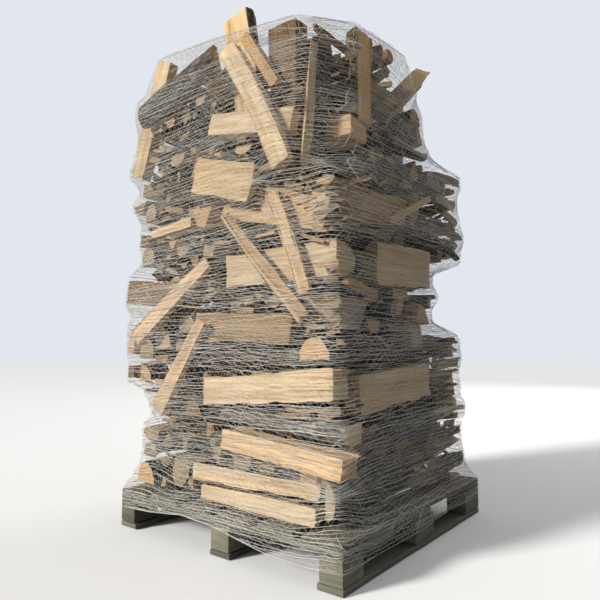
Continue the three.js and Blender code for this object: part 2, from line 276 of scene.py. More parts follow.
def split_wood_finish(settings):
    f = Finish("split wood", 0.78)
    uv = f.uv()
    fibres = f.noise(f.stretched(uv, (7, 330, 1)), detail=4, roughness=0.65)
    bands = f.noise(f.stretched(uv, (2.2, 38, 1)), detail=4, roughness=0.6, distortion=0.4)
    shakes = f.noise(f.stretched(uv, (5, 120, 1)), detail=3, roughness=0.7, distortion=0.6)
    blotch = f.noise(f.stretched(uv, (6, 12, 1)), detail=2)
    pale, deep = tuple(settings.pale), tuple(settings.deep)
    rust = (deep[0] * 0.82, deep[1] * 0.66, deep[2] * 0.5)
    colour = f.ramp(bands, [(0.28, rust), (0.44, deep), (0.62, pale), (0.8, tuple(1.12 * c for c in pale))])
    colour = f.mix(f.math("MULTIPLY", f.between(fibres, 0.42, 0.72), 0.42), colour, (*rust, 1))
    colour = f.mix(f.math("MULTIPLY", f.between(blotch, 0.55, 0.8), 0.3), colour, (*deep, 1))
    dark = f.math("MULTIPLY", f.between(shakes, 0.62, 0.74), 0.6)
    colour = f.mix(dark, colour, (0.10, 0.065, 0.04, 1))
    colour = toned(f, colour, (0.30, 0.275, 0.235, 1))
    height = f.math("ADD", f.math("MULTIPLY", fibres, 0.35), f.math("SUBTRACT", bands, dark))
    return f.done(colour, f.bump(height, 0.0035, 0.9))


def end_grain_finish(settings):
    f = Finish("sawn end grain", 0.82)
    uv = f.uv()
    across = f.node("ShaderNodeVectorMath", {0: uv}, operation="LENGTH").outputs["Value"]
    wander = f.noise(f.stretched(uv, (22, 22, 1)), detail=2)
    turn = f.math("ADD", f.math("MULTIPLY", across, 1700.0), f.math("MULTIPLY", wander, 16.0))
    rings = f.math("MULTIPLY_ADD", f.math("SINE", turn), 0.5, 0.5)
    spoke = f.node("ShaderNodeVectorMath", {0: uv}, operation="NORMALIZE").outputs["Vector"]
    rays = f.noise(f.stretched(spoke, (55, 55, 1)), detail=3, roughness=0.7)
    saw = f.noise(f.stretched(uv, (35, 520, 1)), detail=2)
    pale, deep = tuple(settings.pale), tuple(settings.deep)
    colour = f.ramp(f.math("MULTIPLY_ADD", rings, 0.55, f.math("MULTIPLY", wander, 0.45)), [
        (0.15, (deep[0] * 0.82, deep[1] * 0.76, deep[2] * 0.66)), (0.55, tuple(0.98 * c for c in deep)),
        (0.9, (pale[0] * 0.92, pale[1] * 0.86, pale[2] * 0.74))])
    cracks = f.between(rays, 0.66, 0.76)
    colour = f.mix(f.math("MULTIPLY", cracks, 0.75), colour, (0.07, 0.045, 0.03, 1))
    colour = f.mix(f.math("MULTIPLY", saw, 0.25), colour, (0.2, 0.15, 0.1, 1))
    colour = toned(f, colour, (0.22, 0.2, 0.17, 1))
    height = f.math("SUBTRACT", f.math("MULTIPLY_ADD", saw, 0.4, f.math("MULTIPLY", rings, 0.2)), cracks)
    return f.done(colour, f.bump(height, 0.002, 0.9))


def bark_finish():
    f = Finish("bark", 0.92)
    uv = f.uv()
    wander = f.noise(f.stretched(uv, (30, 45, 1)), detail=3)
    shifted = f.node("ShaderNodeVectorMath", {0: uv, 1: f.node(
        "ShaderNodeCombineXYZ", {"X": f.math("MULTIPLY", wander, 0.02),
                                 "Y": f.math("MULTIPLY", wander, 0.012)}).outputs[0]},
        operation="ADD").outputs["Vector"]
    plates = f.node("ShaderNodeTexVoronoi", {"Vector": f.stretched(shifted, (20, 62, 1)), "Scale": 1.0,
                                             "Randomness": 1.0}, feature="DISTANCE_TO_EDGE")
    furrow = f.between(plates.outputs["Distance"], 0.02, 0.3)
    rough = f.noise(f.stretched(uv, (90, 200, 1)), detail=5, roughness=0.7)
    patches = f.noise(f.stretched(uv, (9, 14, 1)), detail=4)
    colour = f.ramp(rough, [(0.25, (0.07, 0.06, 0.05)), (0.5, (0.15, 0.132, 0.11)),
                            (0.75, (0.25, 0.235, 0.2))])
    colour = f.mix(f.between(patches, 0.5, 0.66), colour, (0.30, 0.30, 0.25, 1))
    colour = f.mix(f.math("MULTIPLY_ADD", furrow, -0.75, 0.75), colour, (0.03, 0.024, 0.02, 1))
    colour = toned(f, colour, (0.16, 0.16, 0.145, 1))
    height = f.math("ADD", f.math("MULTIPLY", furrow, 0.8), f.math("MULTIPLY", rough, 0.5))
    return f.done(colour, f.bump(height, 0.007, 1.0))


def pallet_wood_finish(name, colour, stretch):
    f = Finish(name, 0.88)
    uv = f.uv()
    grain = f.noise(f.stretched(uv, stretch), detail=5, roughness=0.65, distortion=0.5)
    fine = f.noise(f.stretched(uv, (stretch[0] * 3, stretch[1] * 6, 1)), detail=3)
    stain = f.noise(f.stretched(uv, (5, 9, 1)), detail=3)
    c = tuple(colour)
    tint = f.ramp(grain, [(0.25, tuple(0.45 * v for v in c)), (0.5, tuple(0.85 * v for v in c)),
                          (0.78, tuple(1.25 * v for v in c))])
    tint = f.mix(f.between(stain, 0.45, 0.75), tint, (c[0] * 0.62, c[1] * 0.66, c[2] * 0.6, 1))
    tint = f.mix(f.math("MULTIPLY", f.between(fine, 0.6, 0.8), 0.5), tint,
                 (c[0] * 0.3, c[1] * 0.28, c[2] * 0.25, 1))
    # The tone attribute holds each board's own tone, and painted shade on the front left block.
    tone = f.node("ShaderNodeAttribute", attribute_name="tone")
    tint = f.mix(1.0, tint, tone.outputs["Color"], "MULTIPLY")
    height = f.math("ADD", grain, f.math("MULTIPLY", fine, 0.3))
    return f.done(tint, f.bump(height, 0.002, 0.8))


def net_finish(settings):
    f = Finish("net yarn", 0.55)
    place = f.node("ShaderNodeTexCoord").outputs["Object"]
    drift = f.noise(place, 6.0, detail=2)
    grime = f.noise(place, 28.0, detail=3)
    c = tuple(settings.colour)
    colour = f.ramp(drift, [(0.3, tuple(0.8 * v for v in c)), (0.7, tuple(1.15 * v for v in c))])
    colour = f.mix(f.math("MULTIPLY", f.between(grime, 0.55, 0.8), 0.35), colour, (0.33, 0.29, 0.23, 1))
    return f.done(colour)


# ---- one log ------------------------------------------------------------------------------
class Billet:
    """A closed cylinder cut into rings, whose points are then moved to make any split log."""

    def __init__(self, sides, rings, end_steps):
        deselect_all()
        bpy.ops.mesh.primitive_cylinder_add(vertices=sides, radius=1.0, depth=1.0, end_fill_type="NGON")
        obj = bpy.context.object
        mesh = obj.data
        bpy.ops.object.mode_set(mode="EDIT")
        bpy.ops.mesh.select_all(action="DESELECT")
        bpy.ops.object.mode_set(mode="OBJECT")
        for edge in mesh.edges:
            a, b = (mesh.vertices[i].co for i in edge.vertices)
            edge.select = abs(a.z - b.z) > 0.5
        bpy.context.tool_settings.mesh_select_mode = (False, True, False)
        bpy.ops.object.mode_set(mode="EDIT")
        bpy.ops.mesh.subdivide(number_cuts=rings - 1)
        bpy.context.tool_settings.mesh_select_mode = (False, False, True)
        bpy.ops.mesh.select_all(action="DESELECT")
        bpy.ops.object.mode_set(mode="OBJECT")
        for face in mesh.polygons:
            face.select = len(face.vertices) == sides
        bpy.ops.object.mode_set(mode="EDIT")
        for step in range(end_steps):
            bpy.ops.mesh.inset(thickness=0.9 / (end_steps + 1), use_individual=True)
        bpy.ops.mesh.poke()
        bpy.ops.object.mode_set(mode="OBJECT")
        co = np.empty(len(mesh.vertices) * 3)
        mesh.vertices.foreach_get("co", co)
        co = co.reshape(-1, 3)
        radius = np.hypot(co[:, 0], co[:, 1])
        turn = np.arctan2(co[:, 1], co[:, 0]) / (2 * np.pi)
        self.sides = sides
        self.index = np.where(radius > 0.01, np.round(turn * sides).astype(int) % sides, 0)
        self.along = co[:, 2] + 0.5
        self.radius = np.where(radius > 0.995, 1.0, radius)
        self.loops = np.empty(len(mesh.loops), int)
        mesh.loops.foreach_get("vertex_index", self.loops)
        self.starts = np.empty(len(mesh.polygons), int)
        mesh.polygons.foreach_get("loop_start", self.starts)
        self.face_of_loop = np.repeat(np.arange(len(self.starts)),
                                      np.diff(np.append(self.starts, len(self.loops))))
        normals = np.array([tuple(p.normal) for p in mesh.polygons])
        self.is_end = np.abs(normals[:, 2]) > 0.9
        loop_index = self.index[self.loops].astype(float)
        low = np.full(len(self.starts), sides)
        high = np.full(len(self.starts), 0)
        np.minimum.at(low, self.face_of_loop, loop_index.astype(int))
        np.maximum.at(high, self.face_of_loop, loop_index.astype(int))
        wraps = (high - low) > sides / 2
        self.loop_index = np.where(wraps[self.face_of_loop] & (loop_index < sides / 2),
                                   loop_index + sides, loop_index)
        self.face_index = np.where(wraps, high, low)
        bpy.data.objects.remove(obj)
        bpy.data.meshes.remove(mesh)


def ordered_section(near, far):
    """The two end outlines as arrays, turned so that they run anticlockwise about the log's axis."""
    near, far = np.asarray(near, float), np.asarray(far, float)
    axis = far.mean(0) - near.mean(0)
    spin = cross(near[1] - near[0], near[2] - near[1]) @ axis
    if spin < 0:
        near, far = near[::-1], far[::-1]
    return near, far


def shape_log(billet, near, far, seed, settings, bow=0.0, bark_limit=58.0, wild=1.0, bark_facing=None,
              bare_front=None):
    """Points, materials and grain coordinates of one log between two end outlines."""
    near, far = ordered_section(near, far)
    rng = random.Random(seed)
    count = len(near)
    length = np.linalg.norm(far.mean(0) - near.mean(0))
    u = (far.mean(0) - near.mean(0)) / length
    mid = (near + far) / 2
    edges = np.roll(mid, -1, 0) - mid
    widths = np.linalg.norm(edges, axis=1)
    outward = np.cross(edges / widths[:, None], u)
    turning = np.degrees(np.arccos(np.clip((outward * np.roll(outward, 1, 0)).sum(1), -1, 1)))
    soft = turning < bark_limit
    barky = soft | np.roll(soft, -1)
    if bark_facing:
        barky = barky | (outward @ np.array(bark_facing) > 0.3)
    sides = billet.sides
    share = np.maximum(1, np.floor(widths / widths.sum() * sides).astype(int))
    while share.sum() > sides:
        share[np.argmax(share)] -= 1
    while share.sum() < sides:
        share[np.argmax(widths / share)] += 1
    side_of = np.repeat(np.arange(count), share)
    part_of = np.concatenate([np.arange(n) / n for n in share])
    ring_near = near[side_of] + (np.roll(near, -1, 0) - near)[side_of] * part_of[:, None]
    ring_far = far[side_of] + (np.roll(far, -1, 0) - far)[side_of] * part_of[:, None]
    start = np.concatenate([[0], np.cumsum(widths)])
    perimeter = np.append(start[side_of] + widths[side_of] * part_of, start[-1])
    normal = outward[side_of].copy()
    at_corner = part_of == 0
    normal[at_corner] = outward[side_of[at_corner]] + outward[(side_of[at_corner] - 1) % count]
    normal /= np.linalg.norm(normal, axis=1)[:, None]
    bark_here = barky[side_of] & (~at_corner | barky[(side_of - 1) % count])
    hard_corner = at_corner & ~soft[side_of]

    s = billet.along
    k = billet.index
    around = perimeter[k]
    x = s * length
    noise_seed = seed * 13 + 5
    lie = (value_noise(x * 2.2, around * 28, noise_seed) * 0.6
           + value_noise(x * 6, around * 75, noise_seed + 1) * 0.4)
    step = np.floor(value_noise(x * 1.3, around * 22, noise_seed + 2) * 2.5) / 2.5
    waist = 0.003 * wild * (1 + value_noise(x * 4 + 9, side_of[k] * 5.3, noise_seed + 7))
    split_depth = waist + settings.ridge * wild * (1.0 + 0.8 * lie + 0.9 * step)
    furrow = value_noise(x * 14, around * 60, noise_seed + 3)
    lump = value_noise(x * 7, around * 16, noise_seed + 4)
    bark_depth = settings.bark_relief * (0.4 + 0.6 * wild) * (0.7 + 0.45 * furrow + 0.55 * lump)
    chip = np.clip(value_noise(x * 15, k * 3.7, noise_seed + 5), 0, 1) * 0.011 * wild
    depth = np.where(bark_here[k], bark_depth, split_depth)
    depth = np.where(hard_corner[k], waist + settings.ridge * 0.6 * wild + chip, depth)
    depth = np.clip(depth, 0.0004, 0.018)
    from_end = np.minimum(s, 1 - s) * length
    depth = depth + 0.0022 * np.clip(1 - from_end / 0.004, 0, 1)

    centre = near.mean(0) + (far.mean(0) - near.mean(0)) * s[:, None]
    rim = ring_near[k] * (1 - s[:, None]) + ring_far[k] * s[:, None] - normal[k] * depth[:, None]
    points = centre + (rim - centre) * billet.radius[:, None]
    if bow:
        across = np.linalg.svd(mid - mid.mean(0))[2][0]
        across = across if across @ np.array([1.0, 0.0, 0.3]) > 0 else -across
        points = points + across * (bow * (1 - (2 * s - 1) ** 2))[:, None]
    offset = points - centre
    slant = np.array([rng.uniform(-0.06, 0.06) for _ in range(3)])
    fade = np.clip(1 - from_end / 0.05, 0, 1)
    saw = value_noise(offset @ np.array([70.0, 50.0, 60.0]), s * 3 + seed, noise_seed + 6) * 0.0012
    shift = ((offset @ slant) * fade
             - np.where(s > 0.5, 1, -1) * (np.abs(offset @ slant).max() + 0.0012) * fade)
    points = points + u * (shift + saw * (billet.radius < 0.99))[:, None]

    loop_s = s[billet.loops]
    loop_around = np.append(perimeter, perimeter[-1] + perimeter[1:3])[billet.loop_index.astype(int)]
    drift_u, drift_v = rng.uniform(0, 40), rng.uniform(0, 40)
    uv = np.stack([loop_s * length + drift_u, loop_around + drift_v], 1)
    bark_points = mid[soft] if soft.any() else mid[:1]
    lean = mid.mean(0) - bark_points.mean(0)
    lean = lean - u * (lean @ u)
    reach = np.linalg.norm(lean) + 1e-6
    pith = mid.mean(0) + lean / reach * (reach * 1.1 if soft.any() else rng.uniform(0.07, 0.13))
    e1 = lean / reach
    e2 = np.cross(u, e1)
    relative = points[billet.loops] - pith
    end_uv = np.stack([relative @ e1, relative @ e2], 1)
    end_loop = billet.is_end[billet.face_of_loop]
    uv[end_loop] = end_uv[end_loop]
    face_side = side_of[np.minimum(billet.face_index, sides - 1)]
    slots = np.where(billet.is_end, 2, np.where(barky[face_side], 1, 0))
    if bare_front is not None:
        corners = np.diff(np.append(billet.starts, len(billet.loops)))
        face_y = np.add.reduceat(points[billet.loops, 1], billet.starts) / corners
        slots = np.where((slots == 1) & (face_y < bare_front), 0, slots)
    return points, billet.loops, billet.starts, slots, uv


# ---- where the logs lie -------------------------------------------------------------------
class Volume:
    """A convex log, kept for testing what it touches."""

    def __init__(self, near, far, named):
        self.near, self.far = ordered_section(near, far)
        self.named = named
        self.points = np.concatenate([self.near, self.far])
        self.low, self.high = self.points.min(0), self.points.max(0)
        sides = np.roll(self.near, -1, 0) - self.near
        runs = self.far - self.near
        normals = cross(sides, runs)
        axis = self.far.mean(0) - self.near.mean(0)
        cap = cross(self.near[1] - self.near[0], self.near[2] - self.near[0])
        cap = cap if cap @ axis > 0 else -cap
        normals = np.concatenate([normals, [cap, -cap]])
        self.normals = normals / np.linalg.norm(normals, axis=1)[:, None]
        centre = self.points.mean(0)
        offsets = np.concatenate([(self.near * self.normals[:-2]).sum(1),
                                  [self.far[0] @ self.normals[-2], self.near[0] @ self.normals[-1]]])
        inward = self.normals @ centre > offsets
        self.normals[inward] *= -1
        offsets[inward] *= -1
        self.offsets = offsets
        tapered = np.abs(cross(runs[0], runs[1])).max() > 1e-4 * (runs[0] @ runs[0])
        dirs = np.concatenate([sides, runs if tapered else runs[:1]])
        self.edges = dirs / np.linalg.norm(dirs, axis=1)[:, None]
        self.size = np.linalg.norm(sides, axis=1).sum() / 4

    def touches(self, other, clearance=0.001):
        """Whether no plane keeps the two logs more than the clearance apart."""
        if (self.low - clearance > other.high).any() or (other.low - clearance > self.high).any():
            return False
        axes = np.concatenate([self.normals, other.normals])
        a, b = axes @ self.points.T, axes @ other.points.T
        if (np.maximum(b.min(1) - a.max(1), a.min(1) - b.max(1)) > clearance).any():
            return False
        axes = cross(self.edges[:, None, :], other.edges[None, :, :]).reshape(-1, 3)
        size = np.linalg.norm(axes, axis=1)
        axes = axes[size > 0.02] / size[size > 0.02][:, None]
        a, b = axes @ self.points.T, axes @ other.points.T
        return not (np.maximum(b.min(1) - a.max(1), a.min(1) - b.max(1)) > clearance).any()

    def blocks(self, eye, ways, inset):
        """Which sight lines from the eye run into the log, taken `inset` smaller all round."""
        speed = ways @ self.normals.T
        room = (self.offsets - inset - self.normals @ eye)[None, :]
        with np.errstate(divide="ignore", invalid="ignore"):
            t = room / speed
        leave = np.where(speed > 1e-6, t, np.inf).min(1)
        enter = np.where(speed < -1e-6, t, -np.inf).max(1)
        return (enter <= leave) & ~((np.abs(speed) <= 1e-6) & (room < 0)).any(1)

    def front(self, origins, out):
        """How far out along `out` the log's surface lies over each origin, or -9 where it doesn't."""
        speed = self.normals @ out
        room = self.offsets[None, :] - origins @ self.normals.T
        with np.errstate(divide="ignore", invalid="ignore"):
            t = room / speed[None, :]
        leave = np.where(speed[None, :] > 1e-6, t, np.inf).min(1)
        enter = np.where(speed[None, :] < -1e-6, t, -np.inf).max(1)
        beside = ((np.abs(speed)[None, :] <= 1e-6) & (room < 0)).any(1)
        return np.where((enter <= leave) & ~beside, leave, -9.0)


def node_outline(name):
    """The two end outlines of a log's CAD node."""
    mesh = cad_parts[name].data
    co = np.array([tuple(v.co) for v in mesh.vertices])
    co = np.unique(np.round(co, 6), axis=0)
    keep = []
    for p in co:
        if all(np.abs(p - q).max() > 2e-5 for q in keep):
            keep.append(p)
    co = np.array(keep)
    centre = co.mean(0)
    axis = np.linalg.svd(co - centre)[2][0]
    along = (co - centre) @ axis
    half = len(co) // 2
    order = np.argsort(along)
    ends = [co[order[:half]], co[order[half:]]]
    base = np.linalg.svd(ends[0] - ends[0].mean(0))[2]
    out = []
    for end in ends:
        d = end - end.mean(0)
        angle = np.arctan2(d @ base[1], d @ base[0])
        out.append(end[np.argsort(angle)])
    first = out[0][0] - out[0].mean(0)
    second = out[1] - out[1].mean(0)
    scores = second @ first / (np.linalg.norm(second, axis=1) * np.linalg.norm(first))
    out[1] = np.roll(out[1], -int(np.argmax(scores)), 0)
    return out


# Outlines of split logs across the grain, as shares of a log's width and depth.
SECTIONS = {
    "slat": [(-0.5, -0.5), (0.46, -0.5), (0.5, 0.44), (-0.47, 0.5)],
    "wedge": [(-0.22, -0.46), (0.16, -0.5), (0.5, 0.42), (-0.5, 0.5)],
    "ridge": [(-0.5, -0.3), (-0.2, -0.47), (0.2, -0.5), (0.5, -0.28), (0.06, 0.5)],
    "flat": [(-0.48, 0.15), (-0.36, -0.22), (-0.14, -0.46), (0.14, -0.5), (0.37, -0.26), (0.5, 0.12),
             (0.47, 0.5), (-0.5, 0.46)],
    "bark": [(-0.44, -0.5), (0.46, -0.46), (0.5, 0.02), (0.34, 0.34), (0.1, 0.49), (-0.14, 0.5),
             (-0.37, 0.31), (-0.5, -0.04)],
    "quarter": [(-0.5, -0.5), (0.5, -0.44), (0.36, 0.06), (0.08, 0.38), (-0.44, 0.5)],
}
# Each face of the load: the way along it, up it and out of it.
FACES = {
    "front": ((1, 0, 0), (0, 0, 1), (0, -1, 0)),
    "right": ((0, 1, 0), (0, 0, 1), (1, 0, 0)),
    "back": ((-1, 0, 0), (0, 0, 1), (0, 1, 0)),
    "left": ((0, -1, 0), (0, 0, 1), (-1, 0, 0)),
    "top": ((1, 0, 0), (0, 1, 0), (0, 0, 1)),
}


def turned(vectors, axis, angle):
    """Vectors turned about an axis of length 1."""
    axis = np.asarray(axis, float)
    c, s = math.cos(angle), math.sin(angle)
    return [v * c + np.cross(axis, v) * s + axis * (axis @ v) * (1 - c) for v in vectors]


def cross(a, b):
    """Cross products along the last axis, quicker than numpy's own for short arrays."""
    return np.stack([a[..., 1] * b[..., 2] - a[..., 2] * b[..., 1],
                     a[..., 2] * b[..., 0] - a[..., 0] * b[..., 2],
                     a[..., 0] * b[..., 1] - a[..., 1] * b[..., 0]], -1)


def candidate(face, along, up, tilt, lean, roll, length, wide, deep, section, reach, head_on):
    """Near and far outlines of a log laid on a face with its outermost corner at `reach`."""
    a, b, out = (np.array(v, float) for v in FACES[face])
    frame_axes = [out, a, b] if head_on else [a, b, out]
    u, w, n = turned(frame_axes, frame_axes[0], roll)
    u, w, n = turned([u, w, n], a if head_on else b, lean)
    u, w, n = turned([u, w, n], b if head_on else out, tilt)
    outline = np.array([w * p * wide + n * q * deep for p, q in SECTIONS[section]])
    near, far = outline - u * length / 2, outline + u * length / 2
    middle = a * along + b * up
    middle = middle + out * (reach - max((near @ out).max(), (far @ out).max()))
    return near + middle, far + middle


# Room for the logs of the heap and for the sides of one log.
MOST_LOGS, MOST_SIDES = 6000, 12
# How far from the middle the small pieces that close a see-through place may reach.
PLUG_SPREAD = 0.468


class Heap:
    """All logs laid so far, and a look at each face that finds the hollows left to fill."""

    def __init__(self, named):
        self.volumes, self.kept_free = [], []
        self.low, self.high = np.zeros((MOST_LOGS, 3)), np.zeros((MOST_LOGS, 3))
        self.normals, self.offsets = np.zeros((MOST_LOGS, MOST_SIDES, 3)), np.ones((MOST_LOGS, MOST_SIDES))
        for volume in named:
            self.lay(volume)

    def lay(self, volume):
        n, sides = len(self.volumes), len(volume.offsets)
        self.volumes.append(volume)
        self.low[n], self.high[n] = volume.low, volume.high
        self.normals[n, :sides], self.offsets[n, :sides] = volume.normals, volume.offsets

    def lift(self, volumes):
        """Takes volumes away again."""
        kept = [v for v in self.volumes if v not in volumes]
        self.__init__(kept)

    def neighbours(self, near, far):
        """Volumes whose boxes overlap a log's, or None if one of the log's points is inside one."""
        ends = np.concatenate([near, far])
        n = len(self.volumes)
        close = np.flatnonzero(((self.low[:n] < ends.max(0)) & (self.high[:n] > ends.min(0))).all(1))
        if len(close) == 0:
            return close
        first, last = near.mean(0), far.mean(0)
        run = first + (last - first) * np.array([[0.02], [0.25], [0.5], [0.75], [0.98]])
        points = np.concatenate([ends, (near + far) / 2, near * 0.75 + far * 0.25,
                                 near * 0.25 + far * 0.75, run])
        level = self.normals[close] @ points.T - self.offsets[close][:, :, None]
        return None if (level.max(1) < -0.0005).any() else close

    def fit(self, near, far):
        """The log as a volume if it lies clear of all others, otherwise None."""
        close = self.neighbours(near, far)
        if close is None:
            return None
        volume = Volume(near, far, False)
        if any(volume.touches(self.volumes[i]) for i in close):
            return None
        return volume

    def fill(self, face, across, height, cell, reaches, bed, rng, limit, turned_share, size=1.0):
        """Adds logs over one face until no hollow deeper than the bed can take one."""
        a, b, out = (np.array(v, float) for v in FACES[face])
        columns = np.arange(across[0], across[1], cell)
        rows = np.arange(height[0], height[1], cell)
        grid_a, grid_b = np.meshgrid(columns, rows)
        origins = grid_a.reshape(-1, 1) * a + grid_b.reshape(-1, 1) * b
        depth = np.full(len(origins), -9.0)
        named_depth = np.full(len(origins), -9.0)
        for volume in self.volumes:
            surface = volume.front(origins, out)
            depth = np.maximum(depth, surface)
            if volume.named:
                named_depth = np.maximum(named_depth, surface)
        named_depth[named_depth < depth - 0.004] = -9.0
        tried = np.zeros(len(origins), bool)
        made = []
        while len(made) < limit:
            open_cells = np.flatnonzero((depth < bed) & ~tried)
            if len(open_cells) == 0:
                break
            index = open_cells[rng.randrange(len(open_cells))]
            log = self.try_log(face, grid_a.flat[index], grid_b.flat[index], across, height, reaches,
                               rng, origins, named_depth, out, turned_share, size)
            if log is None:
                tried[index] = True
                continue
            self.lay(log)
            made.append(log)
            depth = np.maximum(depth, log.front(origins, out))
        return made

    def try_log(self, face, place_a, place_b, across, height, reaches, rng, origins, named_depth,
                out, turned_share, full_size):
        """A log over one place of a face, clear of all others and of what shows of the named ones."""
        for trial in range(16):
            size = full_size * (1.0, 0.8, 0.62, 0.46)[trial // 4]
            near_edge = abs(place_a) > 0.26
            head_on = rng.random() < turned_share * (1 + trial / 6) * (2 if near_edge else 1)
            steep = rng.random() < 0.2
            tilt = math.radians(rng.uniform(-60, 60) if steep else rng.gauss(0, 7))
            lean = math.radians(rng.gauss(0, 4))
            roll = math.radians(rng.choice((0, 0, 180, 90, -90)) + rng.gauss(0, 9))
            section = rng.choice(("slat", "wedge", "ridge", "flat", "bark", "bark", "quarter"))
            wide, deep = size * rng.uniform(0.085, 0.14), size * rng.uniform(0.06, 0.105)
            length = rng.uniform(0.44, 0.52) * min(1.0, 0.5 + full_size * 0.6)
            length = min(length, (across[1] - across[0]) / max(0.3, math.cos(tilt)))
            if head_on:
                tilt, length = math.radians(rng.gauss(0, 5)), rng.uniform(0.18, 0.34)
                centre_a = place_a + rng.uniform(-0.02, 0.02)
                centre_b = place_b + rng.uniform(-0.02, 0.02)
            else:
                room = max(0.0, (across[1] - across[0] - length * math.cos(tilt)) / 2)
                middle = (across[0] + across[1]) / 2
                centre_a = min(max(place_a + rng.uniform(-0.2, 0.2), middle - room), middle + room)
                centre_b = place_b - math.tan(tilt) * (place_a - centre_a)
                half = length * abs(math.sin(tilt)) / 2
                if centre_b - half < height[0] or centre_b + half > height[1] + 0.04:
                    continue
            near, far = candidate(face, centre_a, centre_b, tilt, lean, roll, length, wide, deep,
                                  section, 0.0, head_on)
            if face != "top" and min(near[:, 2].min(), far[:, 2].min()) < DECK_TOP + 0.002:
                continue
            for reach in reaches:
                log = self.fit(near + out * reach, far + out * reach)
                if log is None:
                    continue
                surface = log.front(origins, out)
                over = (surface > named_depth + 0.002) & (named_depth > 0) & (surface > 0)
                if over.sum() <= 1:
                    return log
        return None

    def plug(self, eye, low, high, crossing, pitch, rng, made):
        """Puts small split pieces where one could see right through the load from one place.

        Sight lines lie `pitch` apart, and count where they run more than `crossing` through the box
        from low to high."""
        eye, low, high = np.array(eye), np.array(low), np.array(high)
        away = np.array([-eye[0], -eye[1], 0.0]) / math.hypot(eye[0], eye[1])
        right = np.array([-away[1], away[0], 0.0])
        across, heights = np.meshgrid(np.arange(-0.66, 0.66, pitch),
                                      np.arange(low[2], high[2] + 0.3, pitch))
        aims = across.reshape(-1, 1) * right + heights.reshape(-1, 1) * np.array([0.0, 0.0, 1.0])
        ways = aims - eye
        ways = ways / np.linalg.norm(ways, axis=1)[:, None]
        ways = np.where(np.abs(ways) < 1e-9, 1e-9, ways)
        ends = np.stack([(low - eye) / ways, (high - eye) / ways])
        enter, leave = ends.min(0).max(1), ends.max(0).min(1)
        through = leave - enter > crossing
        ways, enter, leave = ways[through], enter[through], leave[through]
        free = np.ones(len(ways), bool)
        for volume in self.volumes:
            index = np.flatnonzero(free)
            inset = 0.0 if volume in self.kept_free else 0.004
            free[index[volume.blocks(eye, ways[index], inset)]] = False
        for ray in np.flatnonzero(free):
            if not free[ray]:
                continue
            for trial in range(20):
                x, y, z = eye + ways[ray] * rng.uniform(enter[ray] + 0.005, leave[ray] - 0.005)
                size = (0.085, 0.06, 0.042, 0.03, 0.022)[trial // 4]
                face = rng.choice(("front", "right"))
                along, place = (x, -y) if face == "front" else (y, x)
                near, far = candidate(face, along + rng.uniform(-0.04, 0.04), z, rng.uniform(-0.5, 0.5), 0,
                                      rng.uniform(-0.7, 0.7), rng.uniform(2, 5) * size, size, size * 0.8,
                                      "wedge", place + size / 2, False)
                spread = max(np.abs(near[:, :2]).max(), np.abs(far[:, :2]).max())
                log = self.fit(near, far) if spread < PLUG_SPREAD else None
                if log:
                    self.lay(log)
                    made.append(log)
                    rest = np.flatnonzero(free)
                    free[rest[log.blocks(eye, ways[rest], 0.002)]] = False
                    break


